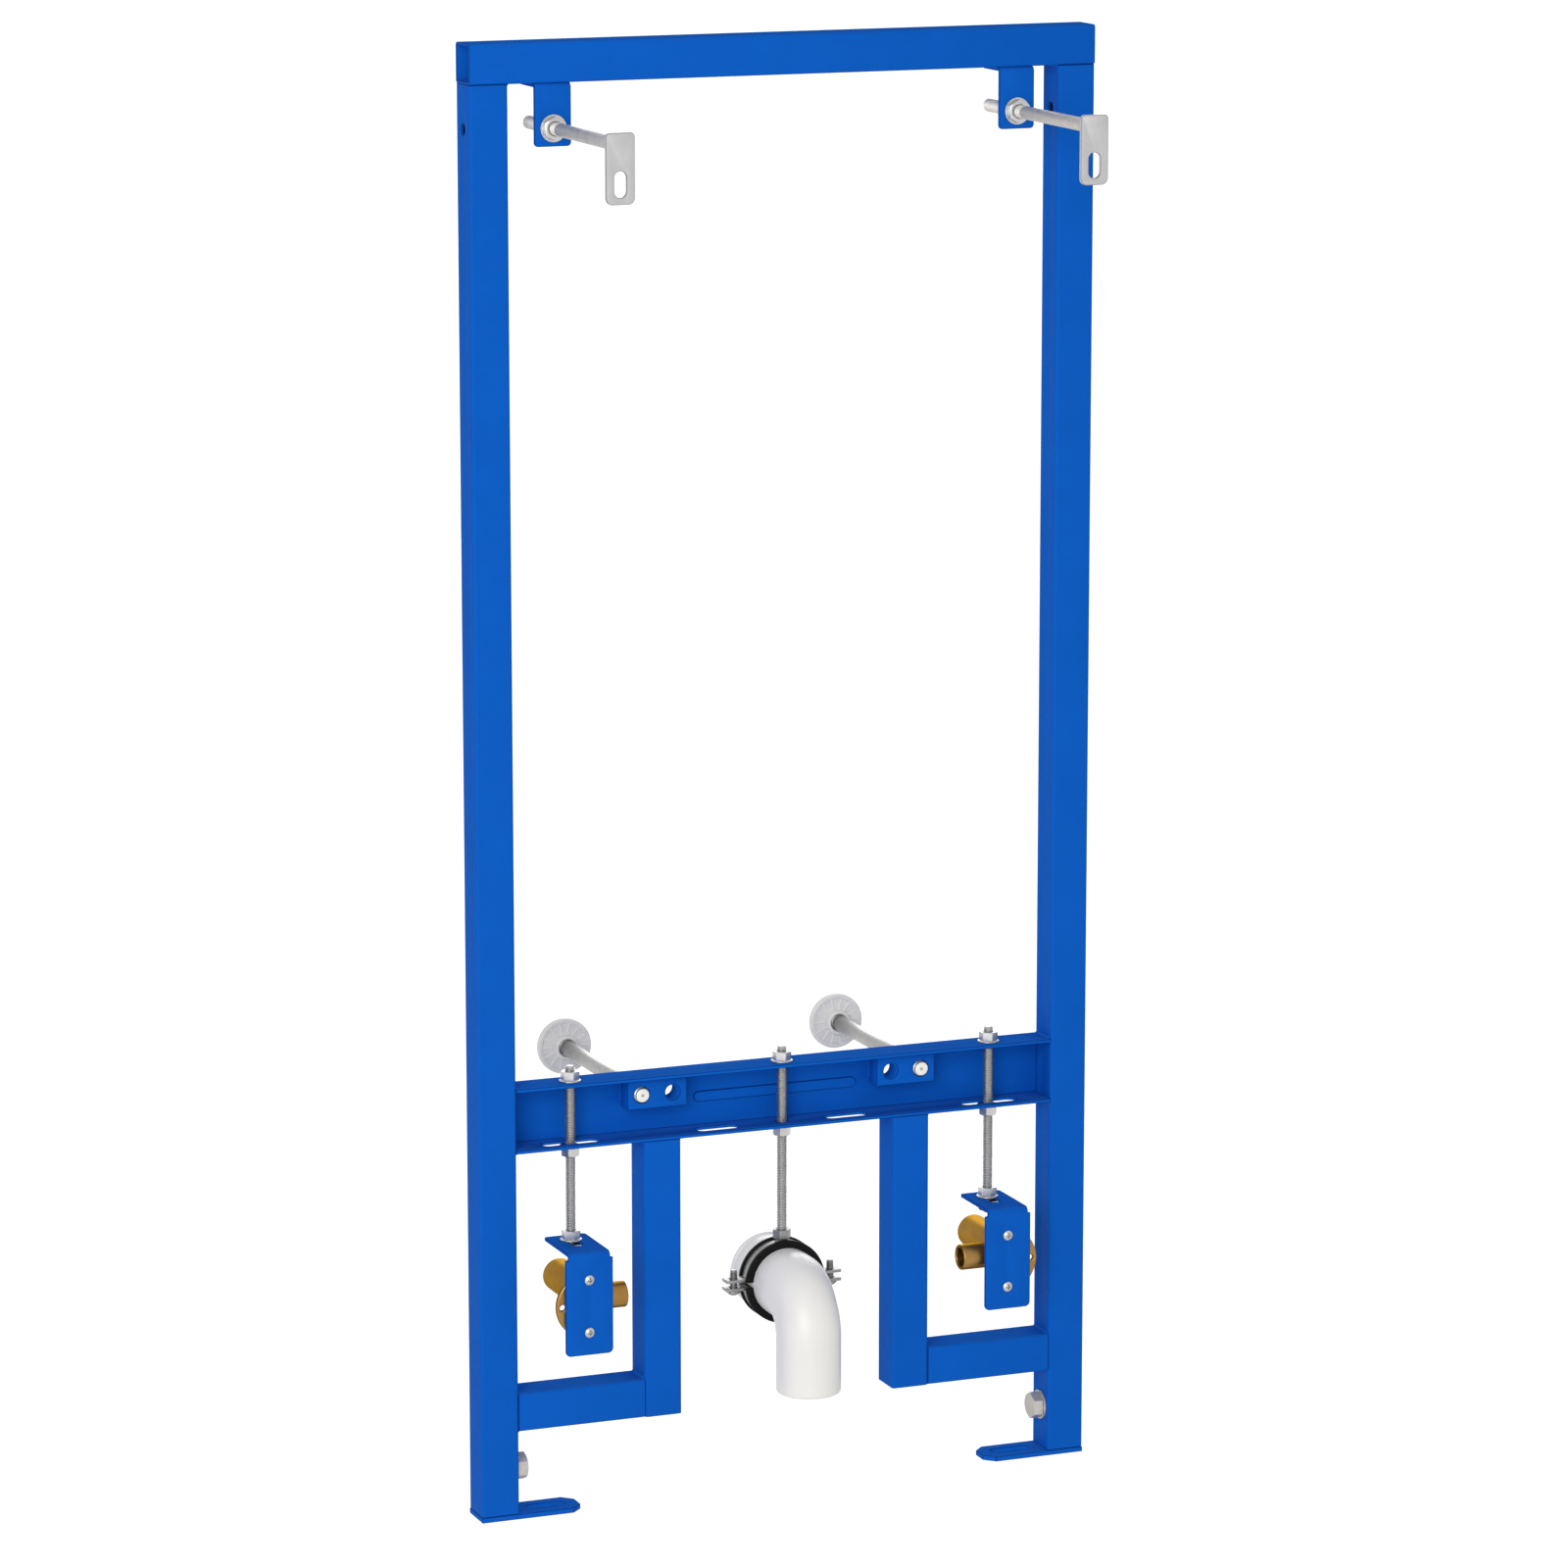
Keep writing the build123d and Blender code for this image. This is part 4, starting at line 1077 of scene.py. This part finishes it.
class BIDET_FRAME_OT_stage(bpy.types.Operator):
    """Lay the pale floor, hang the lamps and set up the camera"""

    bl_idname = "bidet_frame.stage"
    bl_label = "Stage"

    def floor(self, levels, centre):
        bottom = cad_box[0].z - levels.floor_drop
        half_width = 30
        bm = bmesh.new()
        corners = [(x * half_width, y * half_width) for x, y in ((-1, -1), (1, -1), (1, 1), (-1, 1))]
        bm.faces.new([bm.verts.new((x, y, bottom)) for x, y in corners])
        material, tree, shader = new_material("Pale floor")
        shader.inputs["Base Color"].default_value = (0.86, 0.86, 0.86, 1.0)
        shader.inputs["Roughness"].default_value = 0.9
        shader.inputs["Specular IOR Level"].default_value = 0.1
        white = {"Color": (1.0, 1.0, 1.0, 1.0), "Strength": 1.17}
        glow = lay(tree, "ShaderNodeEmission", white).outputs[0]
        place = lay(tree, "ShaderNodeTexCoord").outputs["Object"]
        below = (centre.x, centre.y, bottom)
        away = lay(tree, "ShaderNodeVectorMath", {0: place, 1: below}, operation="DISTANCE").outputs["Value"]
        far = ranged(tree, away, 0.35, 1.1, 1.0 - levels.floor_shadow, 1.0, kind="SMOOTHSTEP")
        share = reckon(tree, "MULTIPLY", self.seen(tree, "Glossy"), far)
        joined = lay(tree, "ShaderNodeMixShader", {0: share, 1: shader.outputs[0], 2: glow})
        tree.links.new(joined.outputs[0], tree.nodes["Material Output"].inputs["Surface"])
        floor = put_mesh_in_scene("pale_floor", bm, material)

    def seen(self, tree, *rays):
        """One where the camera sees the surface, straight on or by the given rays."""
        path = lay(tree, "ShaderNodeLightPath").outputs
        share = path["Is Camera Ray"]
        for ray in rays:
            share = reckon(tree, "MAXIMUM", share, path["Is " + ray + " Ray"])
        return share

    def sky(self, levels):
        world = bpy.data.worlds.new("Even white sky")
        bpy.context.scene.world = world
        world.use_nodes = True
        tree = world.node_tree
        background = tree.nodes["Background"].inputs
        background["Color"].default_value = (1.0, 1.0, 1.0, 1.0)
        strength = ranged(tree, self.seen(tree, "Glossy", "Transmission"), least=levels.sky)
        tree.links.new(strength, background["Strength"])

    def lamp(self, name, way, centre, brightness):
        """Large soft lamp that gives a face turned to it the stated brightness."""
        heading = -Vector(way)
        light = bpy.data.lights.new(name, "AREA")
        light.shape = "SQUARE"
        light.size = 2.4
        light.energy = brightness * math.pi ** 2 * heading.length_squared
        self.aim(put_in_scene(name, light), centre + Vector(way), heading)

    def aim(self, item, place, heading):
        item.location = place
        item.rotation_mode = "QUATERNION"
        item.rotation_quaternion = heading.to_track_quat("-Z", "Y")

    def execute(self, context):
        levels = context.scene.bidet_frame_stage
        scene = context.scene
        scene.view_settings.view_transform = "Standard"
        centre = (cad_box[0] + cad_box[1]) / 2
        self.floor(levels, centre)
        self.sky(levels)
        self.lamp("wall_side_lamp", (2.2, 3.2, 1.0), centre, levels.lamp)
        self.lamp("room_side_lamp", (-1.6, -3.4, 1.2), centre, levels.fill)
        camera_data = bpy.data.cameras.new("camera")
        camera_data.lens = levels.lens
        camera_data.sensor_width = 36.0
        camera_data.clip_end = 100.0
        turn, tilt = levels.camera_turn, levels.camera_tilt
        level_way = Vector((-math.sin(turn), -math.cos(turn), 0)) * math.cos(tilt)
        scene.camera = put_in_scene("camera", camera_data)
        self.aim(scene.camera, levels.camera_place, level_way - Vector(UP) * math.sin(tilt))
        return {"FINISHED"}


class BIDET_FRAME_PT_panel(bpy.types.Panel):
    """Lists the steps that dress the bidet support frame"""

    bl_idname = "BIDET_FRAME_PT_panel"
    bl_label = "Bidet support frame"
    bl_space_type = "VIEW_3D"
    bl_region_type = "UI"
    bl_category = "Bidet Frame"

    def draw(self, context):
        layout = self.layout
        for step in STEPS:
            layout.operator(step.bl_idname)
        for group in ("colours", "steel", "fasteners", "mould", "stage"):
            settings = getattr(context.scene, "bidet_frame_" + group)
            box = layout.box()
            for name in settings.bl_rna.properties.keys():
                if name not in ("rna_type", "name"):
                    box.prop(settings, name)


STEPS = (
    BIDET_FRAME_OT_blue_steel,
    BIDET_FRAME_OT_welds,
    BIDET_FRAME_OT_foot_bolts,
    BIDET_FRAME_OT_studs,
    BIDET_FRAME_OT_rosettes,
    BIDET_FRAME_OT_wall_ties,
    BIDET_FRAME_OT_hangers,
    BIDET_FRAME_OT_brass_elbows,
    BIDET_FRAME_OT_pipe_clamp,
    BIDET_FRAME_OT_drain,
    BIDET_FRAME_OT_stage,
)
GROUPS = {
    "bidet_frame_colours": FinishColours,
    "bidet_frame_steel": SteelSizes,
    "bidet_frame_fasteners": FastenerSizes,
    "bidet_frame_mould": MouldSizes,
    "bidet_frame_stage": StageLevels,
}


def register():
    for name, group in GROUPS.items():
        bpy.utils.register_class(group)
        setattr(bpy.types.Scene, name, bpy.props.PointerProperty(type=group))
    for step in STEPS + (BIDET_FRAME_PT_panel,):
        bpy.utils.register_class(step)


def unregister():
    for step in (BIDET_FRAME_PT_panel,) + STEPS[::-1]:
        bpy.utils.unregister_class(step)
    for name, group in GROUPS.items():
        delattr(bpy.types.Scene, name)
        bpy.utils.unregister_class(group)


def main():
    register()
    bpy.ops.bidet_frame.blue_steel()
    bpy.ops.bidet_frame.welds()
    bpy.ops.bidet_frame.foot_bolts()
    bpy.ops.bidet_frame.studs()
    bpy.ops.bidet_frame.rosettes()
    bpy.ops.bidet_frame.wall_ties()
    bpy.ops.bidet_frame.hangers()
    bpy.ops.bidet_frame.brass_elbows()
    bpy.ops.bidet_frame.pipe_clamp()
    bpy.ops.bidet_frame.drain()
    bpy.ops.bidet_frame.stage()


if __name__ == "__main__":
    main()
